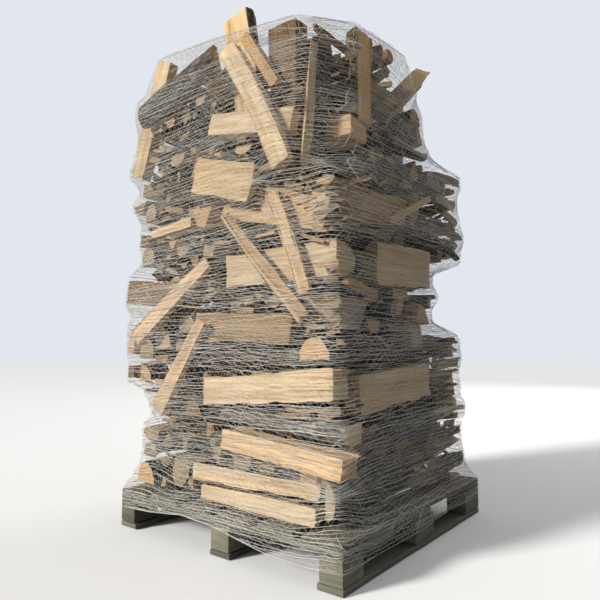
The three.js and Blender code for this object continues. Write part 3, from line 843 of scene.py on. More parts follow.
# ---- the net ------------------------------------------------------------------------------
class Outline:
    """The tightest closed outline round the load at every height, as radii about the middle."""

    def __init__(self, volumes, poking_out):
        self.step = 0.01
        self.heights = np.arange(0.03, 2.0, self.step)
        self.count = 360
        angle = np.arange(self.count) * 2 * np.pi / self.count
        self.directions = np.stack([np.cos(angle), np.sin(angle)], 1)
        starts, ends = [], []
        for volume in volumes:
            if volume in poking_out:
                continue
            near, far = volume.near, volume.far
            starts += [near, near, far]
            ends += [far, np.roll(near, -1, 0), np.roll(far, -1, 0)]
        edge = (-HALF_PALLET, HALF_PALLET)
        corners = np.array([(x, y) for x in edge for y in edge])
        starts.append(np.c_[corners, np.zeros(4)])
        ends.append(np.c_[corners, np.full(4, DECK_TOP)])
        self.starts, self.ends = np.concatenate(starts), np.concatenate(ends)
        gap = np.abs(np.arange(self.count)[:, None] - np.arange(self.count)[None, :])
        gap = np.minimum(gap, self.count - gap) * 2 * np.pi / self.count
        cosine = np.cos(gap)
        usable = cosine > 0.02
        radii = []
        for z in self.heights:
            points = self.slab(z - 0.017, z + 0.017)
            if len(points) < 3:
                radii.append(np.full(self.count, 0.02))
                continue
            support = (self.directions @ points.T).max(1)
            with np.errstate(divide="ignore"):
                r = np.where(usable, support[None, :] / np.where(usable, cosine, 1), np.inf).min(1)
            radii.append(np.maximum(r, 0.02))
        self.radii = np.array(radii)
        self.flare()
        self.soften()
        self.tent(volumes, poking_out)

    def slab(self, low, high):
        """Where the load's edges run between two heights, seen from above."""
        a, b = self.starts, self.ends
        rise = b[:, 2] - a[:, 2]
        found = [c[(c[:, 2] >= low) & (c[:, 2] <= high)][:, :2] for c in (a, b)]
        for level in (low, high):
            with np.errstate(divide="ignore", invalid="ignore"):
                t = (level - a[:, 2]) / rise
            ok = np.isfinite(t) & (t > 0) & (t < 1)
            found.append((a[ok] + (b[ok] - a[ok]) * t[ok][:, None])[:, :2])
        return np.concatenate(found)

    def flare(self):
        """Runs the net straight from the deck's edge up to the first logs."""
        deck = np.searchsorted(self.heights, DECK_TOP)
        high = deck + 7
        for i in range(deck, high):
            t = (i - deck) / (high - deck)
            straight = self.radii[deck - 2] * (1 - t) + self.radii[high] * t
            self.radii[i] = np.maximum(self.radii[high], straight)

    def soften(self):
        """Lets the net span small hollows from one log to the next above it."""
        deck = np.searchsorted(self.heights, DECK_TOP)
        for turn in range(2):
            grown = self.radii.copy()
            for reach, drop in ((1, 0.0), (2, 0.003), (3, 0.008), (4, 0.015)):
                up = np.roll(self.radii, -reach, 0)
                down = np.roll(self.radii, reach, 0)
                between = (up + down) / 2 - drop
                between[:deck + 2 + reach] = 0
                between[-reach - 1:] = 0
                grown = np.maximum(grown, between)
            self.radii = grown
        smooth = self.radii.copy()
        smooth[deck + 1:-1] = (self.radii[deck:-2] + 2 * self.radii[deck + 1:-1]
                               + self.radii[deck + 2:]) / 4
        self.radii = np.maximum(smooth, self.radii - 0.002)

    def tent(self, volumes, poking_out):
        """Planes that lie on the top of the load."""
        points = np.concatenate([v.points for v in volumes if v not in poking_out])
        points = points[points[:, 2] > 1.4]
        planes = []
        for elevation in np.radians(np.arange(18, 91, 6)):
            for azimuth in np.arange(60) * 2 * np.pi / 60:
                planes.append((math.cos(elevation) * math.cos(azimuth),
                               math.cos(elevation) * math.sin(azimuth), math.sin(elevation)))
        self.planes = np.array(planes)
        self.plane_reach = (self.planes @ points.T).max(1)

    def radius(self, angle, z):
        """The outline's radius at any turn and height, between the stored ones."""
        row = np.clip((z - self.heights[0]) / self.step, 0, len(self.heights) - 1.001)
        i = row.astype(int)
        fy = row - i
        column = (angle / (2 * np.pi) * self.count) % self.count
        j = column.astype(int) % self.count
        fx = column - np.floor(column)
        j2 = (j + 1) % self.count
        low = self.radii[i, j] * (1 - fx) + self.radii[i, j2] * fx
        high = self.radii[i + 1, j] * (1 - fx) + self.radii[i + 1, j2] * fx
        return low * (1 - fy) + high * fy

    def roof(self, xy):
        """Height of the tight cover over the top of the load."""
        levels = (self.plane_reach[None, :] - xy @ self.planes[:, :2].T) / self.planes[None, :, 2]
        return levels.min(1)

    def place(self, angle, z, stand_off):
        """Points on the net: round the sides, then drawn in over the top."""
        z = np.asarray(z, float)
        over = np.clip(z - TOP_TURN, 0, None)
        side_z = np.minimum(z, TOP_TURN)
        r = self.radius(angle, side_z) + stand_off
        r = np.maximum(r * np.clip(1 - over / 0.55, 0.1, 1), 0.02)
        direction = np.stack([np.cos(angle), np.sin(angle)], -1)
        xy = direction * r[..., None]
        height = side_z.copy()
        upper = z > TOP_TURN
        if upper.any():
            roof = self.roof(xy[upper]) + stand_off
            blend = np.clip(over[upper] / 0.05, 0, 1)
            height[upper] = height[upper] * (1 - blend) + np.maximum(roof, TOP_TURN - 0.02) * blend
        return np.concatenate([xy, height[..., None]], -1)


def hem_height(angle):
    """Height of the net's lowest edge, which hangs unevenly round the pallet."""
    degrees = np.degrees(angle) % 360
    known_at = (0, 10, 24, 36, 45, 90, 135, 180, 215, 225, 238, 252, 268, 276, 294, 306, 315, 325, 340,
                354, 360)
    known = (61, 70, 72, 70, 66, 74, 62, 78, 72, 70, 80, 98, 92, 82, 56, 51, 58, 63, 61, 58, 61)
    return np.interp(degrees, known_at, known) / 1000.0


def strand(soup, points, width, thick):
    """A closed three-sided yarn along a row of points, flat side to the load."""
    points = np.asarray(points, float)
    n = len(points)
    if n < 2:
        return
    middle = points.copy()
    middle[:, 2] = 0
    outward = middle / (np.linalg.norm(middle, axis=1)[:, None] + 1e-9)
    run = np.gradient(points, axis=0)
    run /= np.linalg.norm(run, axis=1)[:, None] + 1e-12
    side = np.cross(outward, run)
    side /= np.linalg.norm(side, axis=1)[:, None] + 1e-12
    lift = np.cross(run, side)
    ring = np.stack([points + side * width / 2, points - side * width / 2, points + lift * thick], 1)
    verts = ring.reshape(-1, 3)
    i = np.arange(n - 1)[:, None] * 3
    quads = np.concatenate([i + np.array([[0, 1, 4, 3]]), i + np.array([[1, 2, 5, 4]]),
                            i + np.array([[2, 0, 3, 5]])], 0)
    outward_test = np.cross(verts[quads[0, 1]] - verts[quads[0, 0]],
                            verts[quads[0, 3]] - verts[quads[0, 0]])
    if outward_test @ (verts[quads[0]].mean(0) - (verts[:6].mean(0))) < 0:
        quads = quads[:, ::-1]
        caps = np.array([0, 1, 2, 3 * n - 1, 3 * n - 2, 3 * n - 3])
    else:
        caps = np.array([2, 1, 0, 3 * n - 3, 3 * n - 2, 3 * n - 1])
    loops = np.concatenate([quads.ravel(), caps])
    starts = np.concatenate([np.arange(len(quads)) * 4, [len(quads) * 4, len(quads) * 4 + 3]])
    uvs = np.zeros((len(loops), 2), np.float32)
    soup.add(verts, loops, starts, np.zeros(len(starts), int), uvs, (1, 1, 1, 0))


def gathered(angle, z, pulls):
    """Moves strand heights towards the places where the net is drawn together."""
    z = z.copy()
    for centre, level, span, reach, strength in pulls:
        turn = (angle - math.radians(centre) + np.pi) % (2 * np.pi) - np.pi
        pull = strength * np.exp(-(turn / math.radians(span)) ** 2) * np.exp(-((z - level) / reach) ** 2)
        z += (level - z) * pull
    return z


# Where the net is drawn together: turn in degrees, height, spread in degrees, spread in height
# and how strongly.
PULLS = (
    (-45.0, 0.235, 7.0, 0.10, 0.75), (-45.0, 0.105, 6.0, 0.04, 0.6), (-72.0, 1.20, 5.0, 0.07, 0.8),
    (-128.0, 0.30, 8.0, 0.12, 0.5), (-112.0, 0.88, 6.0, 0.06, 0.7), (-60.0, 0.80, 5.0, 0.06, 0.55),
    (-47.0, 1.23, 4.0, 0.05, 0.5), (40.0, 0.42, 7.0, 0.08, 0.5), (95.0, 1.0, 8.0, 0.08, 0.6),
    (165.0, 0.62, 8.0, 0.08, 0.6), (200.0, 1.35, 8.0, 0.08, 0.5),
)


# ---- operators ----------------------------------------------------------------------------
# Finishes that the named logs and the heap share, made once.
MATERIALS = {}

# Hollows left free in the outside of the load: lowest and highest corner of each.
HOLLOWS = (
    ((-0.62, -0.62, 0.37), (-0.40, -0.385, 0.49)),
    ((0.22, 0.26, 0.72), (0.62, 0.62, 0.83)),
    ((0.24, 0.32, 0.83), (0.62, 0.62, 1.01)),
    ((0.20, 0.265, 1.39), (0.62, 0.62, 1.64)),
    ((0.20, 0.22, 1.64), (0.62, 0.62, 1.95)),
    ((0.14, -0.02, 1.745), (0.62, 0.62, 1.95)),
    ((0.05, -0.52, 1.56), (0.30, -0.385, 1.95)),
    ((0.368, -0.56, 1.20), (0.56, -0.34, 1.72)),
)
# Parts of the load that reach out past the rest: face, from and to across it, lowest and highest.
OVERHANGS = (
    ("front", (-0.53, 0.0), (1.32, 1.70)), ("front", (-0.50, 0.0), (0.98, 1.25)),
    ("front", (-0.535, 0.0), (0.53, 0.72)), ("front", (-0.43, 0.0), (0.15, 0.34)),
    ("right", (0.0, 0.47), (1.05, 1.38)), ("right", (0.0, 0.46), (0.15, 0.42)),
)
# Small logs and ends, listed one by one and laid before the rest: face, along, up, tilt, roll, reach,
# length, width, depth, section, end outwards, tone.
SMALL_LOGS = (
    ("front", -0.320, 1.056, 4, 0, 0.445, 0.25, 0.050, 0.044, "wedge", True, (1.1, 0.86, 0.66, 0)),
    ("front", -0.332, 1.124, 4, 0, 0.440, 0.24, 0.045, 0.040, "slat", False, (1.05, 1.0, 0.9, 0)),
    ("front", -0.238, 0.757, 0, 0, 0.430, 0.22, 0.090, 0.070, "bark", True, (0.8, 0.78, 0.74, 0.5)),
    ("front", 0.115, 1.660, -57, 0, 0.436, 0.27, 0.046, 0.048, "slat", False, (0.8, 0.64, 0.44, 0)),
    ("front", -0.310, 1.462, -4, 0, 0.376, 0.44, 0.055, 0.060, "bark", False, (0.95, 0.92, 0.86, 0.3)),
    ("front", -0.408, 0.285, 0, 0, 0.430, 0.20, 0.050, 0.046, "quarter", True, (1.0, 0.86, 0.68, 0.1)),
    ("front", -0.278, 0.567, 3, 0, 0.425, 0.26, 0.080, 0.100, "quarter", True, (0.95, 0.84, 0.72, 0.2)),
    ("front", 0.060, 1.735, 2, 0, 0.284, 0.42, 0.100, 0.090, "bark", False, (0.5, 0.45, 0.38, 0.3)),
    ("front", -0.130, 1.640, 12, 0, 0.250, 0.36, 0.090, 0.080, "bark", False, (0.6, 0.56, 0.5, 0.4)),
    ("right", 0.000, 1.640, 4, 0, 0.330, 0.50, 0.100, 0.090, "slat", False, (0.7, 0.62, 0.5, 0.3)),
    ("front", -0.452, 1.205, 0, 0, 0.440, 0.15, 0.076, 0.080, "bark", True, (0.8, 0.76, 0.7, 0.5)),
    ("front", -0.468, 1.030, 0, 0, 0.436, 0.11, 0.085, 0.080, "bark", True, (0.8, 0.76, 0.7, 0.5)),
    ("front", -0.480, 0.660, 0, 0, 0.425, 0.20, 0.095, 0.080, "bark", True, (0.75, 0.72, 0.66, 0.4)),
    ("front", -0.485, 0.570, 0, 0, 0.420, 0.10, 0.085, 0.075, "quarter", True, (0.9, 0.8, 0.66, 0.2)),
    ("left", 0.160, 1.620, 2, 0, 0.430, 0.40, 0.095, 0.100, "bark", False, (0.7, 0.66, 0.6, 0.4)),
    ("left", 0.100, 1.430, 2, 0, 0.430, 0.38, 0.085, 0.100, "bark", False, (0.7, 0.66, 0.6, 0.4)),
    ("right", -0.268, 1.383, 3, 0, 0.425, 0.15, 0.125, 0.072, "slat", True, (1.25, 1.1, 0.9, 0)),
    ("right", -0.235, 0.958, 0, 0, 0.405, 0.30, 0.140, 0.115, "quarter", True, (0.85, 0.78, 0.7, 0.3)),
    ("right", -0.165, 0.735, 3, 0, 0.410, 0.30, 0.130, 0.056, "wedge", True, (0.95, 0.84, 0.7, 0.1)),
    ("right", 0.020, 1.165, 25, 0, 0.470, 0.36, 0.030, 0.030, "slat", False, (0.95, 0.85, 0.7, 0.1)),
)
# How far such a log may be pushed back until it finds room.
SET_BACKS = (0, 0.012, 0.024, 0.04, 0.06, 0.08)
# The outer and the inner layer over a whole face: how far out logs may reach, how deep a hollow
# takes one, spacing of the places tried, share of logs laid end outwards, and size.
LAYERS = (
    ((0.428, 0.41, 0.39, 0.36), 0.33, 0.026, 0.2, 1.22),
    ((0.35, 0.32, 0.28, 0.24), 0.2, 0.034, 0.35, 1.0),
)
# The upright edges of the load that get small logs of their own: face, from and to across it.
EDGE_STRIPS = (
    ("right", (0.08, 0.452)), ("front", (-0.452, -0.08)), ("left", (0.08, 0.452)),
    ("back", (-0.452, -0.08)), ("left", (-0.452, -0.08)), ("back", (0.08, 0.452)),
)
# Rows of logs in the middle: spacing, thickness, length and half the width that they take up.
INNER_ROWS = ((0.1, 0.09, 0.3, 0.3), (0.068, 0.06, 0.24, 0.38), (0.05, 0.042, 0.16, 0.40))
# Where one stands to look for gaps right through the load: distance, then turn in degrees and
# height of each place.
EYE_DISTANCE = 2.2
EYES = ((37.3, 0.65), (30, 1.2), (82, 0.9), (128, 1.2), (175, 1.0), (225, 1.5), (270, 0.9),
        (308, 1.2), (350, 0.9))
# Seed of the first heap log's surface, past those of the named logs.
FIRST_HEAP_SEED = 201


def box_outline(low, high):
    """The two end outlines of an upright box."""
    x0, y0, z0 = low
    x1, y1, z1 = high
    ring = [(x0, y0), (x1, y0), (x1, y1), (x0, y1)]
    return [(x, y, z0) for x, y in ring], [(x, y, z1) for x, y in ring]


def log_materials():
    if "split" not in MATERIALS:
        settings = bpy.context.scene.firewood_logs
        MATERIALS["split"] = split_wood_finish(settings)
        MATERIALS["bark"] = bark_finish()
        MATERIALS["end"] = end_grain_finish(settings)
    return [MATERIALS["split"], MATERIALS["bark"], MATERIALS["end"]]


# Logs laid so far, which the heap fills in between and the net is drawn over.
STORE = {"volumes": []}

# Tone of each named log: red, green, blue factors and how grey it has weathered. The tone of
# split-top-wide-standing is painted shade.
NAMED_TONES_AND_PAINTED_SHADE = {
    "split-front-on-deck": (1.0, 0.97, 0.92, 0.15), "split-corner-low-bark": (0.9, 0.9, 0.9, 0.4),
    "split-front-low-pale": (1.04, 1.0, 0.93, 0.1), "split-front-low-bright": (1.1, 0.98, 0.84, 0.0),
    "split-front-grey-bark": (1.6, 1.6, 1.58, 0.5), "split-front-big-bright": (1.08, 1.05, 0.97, 0.0),
    "split-front-dark-bark": (0.9, 0.85, 0.8, 0.2), "split-corner-golden-end": (1.1, 0.95, 0.78, 0.0),
    "split-front-pale-face": (0.48, 0.42, 0.32, 0.05), "split-left-corner-low-end": (1.15, 0.95, 0.75, 0.0),
    "split-front-left-poking-out": (0.32, 0.25, 0.16, 0.0),
    "split-corner-half-round": (1.02, 0.98, 0.9, 0.15),
    "split-front-golden-end": (0.98, 0.82, 0.58, 0.0), "split-corner-wide-face": (0.84, 0.76, 0.60, 0.0),
    "split-front-wide-slab": (0.92, 0.84, 0.68, 0.0), "split-front-low-leaning": (1.0, 0.92, 0.88, 0.0),
    "split-front-left-leaning": (0.98, 0.9, 0.86, 0.05), "split-front-short-slat": (1.0, 0.92, 0.82, 0.0),
    "split-front-long-slat": (1.0, 0.88, 0.70, 0.0), "split-top-poking-out": (1.04, 0.92, 0.74, 0.0),
    # split-top-wide-standing is darkened far below its wood colour: painted shade for the shade it stands
    # in at the top of the load.
    "split-top-wide-standing": (0.26, 0.2, 0.13, 0.0), "split-front-pale-block": (1.12, 1.08, 1.02, 0.05),
    "split-left-edge-standing": (1.02, 0.97, 0.85, 0.1), "split-top-rising-bark": (1.0, 0.97, 0.92, 0.2),
    "split-corner-standing-wedge": (1.0, 0.97, 0.86, 0.05),
    "split-front-long-leaning": (1.02, 1.0, 0.95, 0.0),
    "split-right-low-bark": (0.8, 0.8, 0.78, 0.4), "split-right-big-pale": (1.05, 0.98, 0.86, 0.1),
    "split-corner-grey-wedge": (0.9, 0.9, 0.88, 0.85), "split-right-big-mid": (1.08, 1.0, 0.88, 0.2),
    "split-right-brown": (0.66, 0.54, 0.44, 0.1), "split-right-standing": (1.1, 0.88, 0.55, 0.0),
    "split-right-top-rising": (0.58, 0.53, 0.44, 0.3), "split-back-level": (1.0, 0.9, 0.8, 0.1),
    "split-back-leaning": (1.08, 1.0, 0.9, 0.0), "split-left-level": (0.9, 0.88, 0.84, 0.2),
    "split-left-leaning": (1.05, 0.94, 0.82, 0.0),
}
# Which way a log's bark faces, and how far a long one bows, in metres.
BARK_FACING = {"split-corner-standing-wedge": (1.0, 0.0, 0.0), "split-right-top-rising": (0.0, -0.7, -0.7)}
# How far back a log's front edge is bare wood, as a place along Y.
BARE_FRONT = {"split-corner-standing-wedge": -0.408}
BOWED = {"split-front-long-leaning": 0.012, "split-front-short-slat": 0.006}


class FIREWOOD_OT_pallet(bpy.types.Operator):
    """Build the boards and blocks of the pallet with worn edges and weathered grain"""
    bl_idname = "firewood.pallet"
    bl_label = "Pallet"

    def execute(self, context):
        settings = context.scene.firewood_pallet
        board = pallet_wood_finish("weathered pallet board", settings.colour, (4, 60, 1))
        block = pallet_wood_finish("pallet block", (0.215, 0.205, 0.165), (14, 50, 1))
        rng = random.Random(31)
        for name in PALLET_NODES:
            low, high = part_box(name)
            size = high - low
            deselect_all()
            bpy.ops.mesh.primitive_cube_add(size=1, location=(low + high) / 2)
            obj = context.object
            obj.name = name + "-wood"
            obj.scale = size
            bpy.ops.object.transform_apply(location=True, rotation=True, scale=True)
            longest = max(range(3), key=lambda i: size[i])
            mesh = obj.data
            bpy.ops.object.mode_set(mode="EDIT")
            bpy.ops.mesh.select_all(action="DESELECT")
            bpy.ops.object.mode_set(mode="OBJECT")
            for edge in mesh.edges:
                a, b = (mesh.vertices[i].co for i in edge.vertices)
                edge.select = abs((a - b)[longest]) > size[longest] * 0.9
            context.tool_settings.mesh_select_mode = (False, True, False)
            bpy.ops.object.mode_set(mode="EDIT")
            bpy.ops.mesh.subdivide(number_cuts=max(2, int(size[longest] / 0.03)))
            bpy.ops.object.mode_set(mode="OBJECT")
            seed = rng.randrange(10000)
            for v in mesh.vertices:
                for axis in range(3):
                    if axis == longest:
                        continue
                    edge_sign = 1 if v.co[axis] > (low[axis] + high[axis]) / 2 else -1
                    wear = float(value_noise(v.co[longest] * 9, axis * 5 + edge_sign * 2, seed))
                    v.co[axis] -= edge_sign * 0.0012 * (1 + wear)
            bevel = obj.modifiers.new("worn edge", "BEVEL")
            bevel.width = min(settings.edge, min(size) * 0.2)
            bevel.segments = 2
            bevel.limit_method = "ANGLE"
            make_active(obj)
            bpy.ops.object.modifier_apply(modifier=bevel.name)
            bpy.ops.object.shade_smooth_by_angle(angle=0.7)
            self.lay_grain(obj, longest, rng)
            obj.data.materials.append(block if "block" in name else board)
            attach(obj, BODY)
            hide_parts(name)
        return {"FINISHED"}

    def lay_grain(self, obj, longest, rng):
        """Runs the grain along the board and gives the board a tone of its own, halved on the front left
        block as painted shade.
        """
        mesh = obj.data
        shift = (rng.uniform(0, 20), rng.uniform(0, 20))
        layer = mesh.uv_layers.active or mesh.uv_layers.new(name="grain")
        layer.name = "grain"
        for face in mesh.polygons:
            n = face.normal
            facing = max(range(3), key=lambda i: abs(n[i]))
            other = [i for i in range(3) if i not in (facing, longest)]
            for loop in face.loop_indices:
                co = mesh.vertices[mesh.loops[loop].vertex_index].co
                if facing == longest:
                    a, b = [i for i in range(3) if i != longest]
                    layer.data[loop].uv = (co[a] * 0.3 + shift[0], co[b] + shift[1])
                else:
                    layer.data[loop].uv = (co[longest] + shift[0],
                                           co[other[0]] + facing * 0.37 + shift[1])
        # The front left block's tone is halved: painted shade for the shade of the net hanging over it.
        value = rng.uniform(0.8, 1.15) * (0.5 if obj.name == "pallet-block-front-left-wood" else 1.0)
        tone = mesh.attributes.new("tone", "FLOAT_COLOR", "POINT")
        colour = (value, value * rng.uniform(0.95, 1.02), value * rng.uniform(0.88, 1.02), 0)
        tone.data.foreach_set("color", np.tile(colour, len(mesh.vertices)).astype(np.float32))


class FIREWOOD_OT_named_logs(bpy.types.Operator):
    """Build each named log from its CAD solid, with torn split faces, bark and sawn ends"""
    bl_idname = "firewood.named_logs"
    bl_label = "Named logs"

    def execute(self, context):
        settings = context.scene.firewood_logs
        materials = log_materials()
        billet = Billet(44, 44, 3)
        for number, name in enumerate(LOG_NODES):
            near, far = node_outline(name)
            STORE["volumes"].append(Volume(near, far, name))
            soup = Soup()
            shape = shape_log(billet, near, far, number + 3, settings, bow=BOWED.get(name, 0.0),
                              bark_limit=1.0 if name in BARE_FRONT else 58.0,
                              bark_facing=BARK_FACING.get(name), bare_front=BARE_FRONT.get(name))
            soup.add(*shape, NAMED_TONES_AND_PAINTED_SHADE.get(name, (1, 1, 1, 0.1)))
            obj = soup.build(name + "-log", materials, smooth_angle=0.62)
            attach(obj, BODY)
            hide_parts(name)
        return {"FINISHED"}


class FIREWOOD_OT_heap(bpy.types.Operator):
    """Fill the rest of the load with split logs that lie clear of each other"""
    bl_idname = "firewood.heap"
    bl_label = "Heap of logs"

    def execute(self, context):
        settings = context.scene.firewood_logs
        rng = random.Random(settings.seed)
        heap = Heap(STORE["volumes"])
        groups, tones = self.by_hand(heap)
        hollows = [Volume(*box_outline(low, high), False) for low, high in HOLLOWS]
        for hollow in hollows:
            heap.lay(hollow)
        heap.kept_free = hollows
        self.outside(heap, groups, rng)
        self.inner(heap, groups, rng)
        self.wedged(heap, groups, rng)
        heap.lift(hollows)
        STORE["volumes"] = heap.volumes
        self.build(groups, tones, rng, settings)
        return {"FINISHED"}

    def by_hand(self, heap):
        """The small logs listed one by one, as the first group, and the tone of each."""
        laid, tones = [], {}
        for face, along, up, tilt, roll, reach, *rest, head_on, tone in SMALL_LOGS:
            for back in SET_BACKS:
                log = heap.fit(*candidate(face, along, up, math.radians(tilt), 0, math.radians(roll),
                                          *rest, reach - back, head_on))
                if log:
                    heap.lay(log)
                    laid.append(log)
                    tones[id(log)] = tone
                    break
        return {"small": laid}, tones

    def outside(self, heap, groups, rng):
        """Logs over the sides and the top: what reaches out, two layers, then ever smaller ones."""
        lowest = DECK_TOP + 0.01
        for face, across, height in OVERHANGS:
            groups.setdefault(face, [])
            groups[face] += heap.fill(face, across, height, 0.022,
                                      (0.445, 0.43, 0.41, 0.385, 0.36), 0.33, rng, 60, 0.3)
        for reaches, bed, cell, turned_share, size in LAYERS:
            for face in ("front", "right", "left", "back"):
                groups.setdefault(face, [])
                groups[face] += heap.fill(face, (-0.43, 0.43), (lowest, TOP_TURN), cell, reaches, bed,
                                          rng, 160, turned_share, size)
        for face in ("front", "left", "right", "back"):
            groups[face] += heap.fill(face, (-0.44, 0.44), (lowest, 1.72), 0.022,
                                      (0.43, 0.41, 0.39, 0.37, 0.34, 0.31), 0.31, rng, 220, 0.4, 0.68)
        for face, across in EDGE_STRIPS:
            groups[face] += heap.fill(face, across, (lowest, 1.68), 0.027, (0.445, 0.425, 0.40), 0.37,
                                      rng, 90, 0.35, 0.75)
        groups["top"] = heap.fill("top", (-0.42, 0.42), (-0.42, 0.42), 0.03,
                                  (1.76, 1.73, 1.70, 1.66, 1.62), 1.58, rng, 60, 0.0)

    def tone(self, rng):
        """Colour and greyness of one log: fresh, warm, weathered or dark."""
        kind = rng.random()
        light = rng.uniform(0.7, 1.05)
        if kind < 0.3:
            return (light, light * 0.96, light * 0.9, rng.uniform(0, 0.3))
        if kind < 0.45:
            return (light * 1.02, light * 0.85, light * 0.7, rng.uniform(0, 0.2))
        if kind < 0.8:
            return (light * 0.85, light * 0.82, light * 0.78, rng.uniform(0.4, 1.0))
        return (light * 0.6, light * 0.54, light * 0.48, rng.uniform(0, 0.6))

    def inner(self, heap, groups, rng):
        """Rows of logs in the middle of the load, seen only through the gaps between the others."""
        groups["inner"] = []
        for step, size, length, half in INNER_ROWS:
            z = DECK_TOP + size * 0.6
            while z < 1.74:
                face = rng.choice(("front", "right"))
                for place in np.arange(-half, half + 0.01, step):
                    for along in np.arange(-half + length / 2, half - length / 2 + 0.01, length + 0.012):
                        log = heap.fit(*candidate(
                            face, along, z, rng.uniform(-0.05, 0.05), 0, rng.uniform(-0.1, 0.1),
                            length, size, size * rng.uniform(0.8, 1), "slat", place, False))
                        if log:
                            heap.lay(log)
                            groups["inner"].append(log)
                z += step

    def wedged(self, heap, groups, rng):
        """Small pieces in the gaps that one could see right through, from all round the load."""
        groups["wedged"] = []
        for azimuth, height in EYES:
            turn = math.radians(azimuth)
            eye = (EYE_DISTANCE * math.sin(turn), -EYE_DISTANCE * math.cos(turn), height)
            pitch = 0.0145 if groups["wedged"] else 0.009
            heap.plug(eye, (-0.45, -0.45, DECK_TOP + 0.02), (0.45, 0.45, 1.70), 0.04, pitch, rng,
                      groups["wedged"])
            heap.plug(eye, (-0.36, -0.36, 1.55), (0.36, 0.36, 1.80), 0.3, pitch, rng, groups["wedged"])

    def build(self, groups, tones, rng, settings):
        """Joins each group of logs into one piece, with finer surfaces where they show."""
        materials = log_materials()
        fine, coarse, plain = Billet(20, 16, 1), Billet(12, 5, 1), Billet(8, 2, 1)
        seed = FIRST_HEAP_SEED
        for face, logs in groups.items():
            if not logs:
                continue
            soup = Soup()
            for log in logs:
                outermost = max(np.abs(log.points[:, :2]).max(), log.high[2] - 1.3)
                small = log.size < 0.055
                hidden = face in ("inner", "wedged")
                if hidden:
                    billet = plain
                else:
                    billet = fine if outermost > 0.35 and not small else coarse
                tone = tones.get(id(log)) or self.tone(rng)
                # Logs inside the load and small unlisted pieces are darkened: painted shade for the hollows
                # and gaps they lie in.
                if hidden or (small and id(log) not in tones):
                    tone = (tone[0] * 0.75, tone[1] * 0.72, tone[2] * 0.67, tone[3])
                soup.add(*shape_log(billet, log.near, log.far, seed, settings, wild=0.5), tone)
                seed += 1
            obj = soup.build(f"firewood-{face}-logs", materials, smooth_angle=0.6)
            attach(obj, BODY)
            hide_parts("firewood-heap")


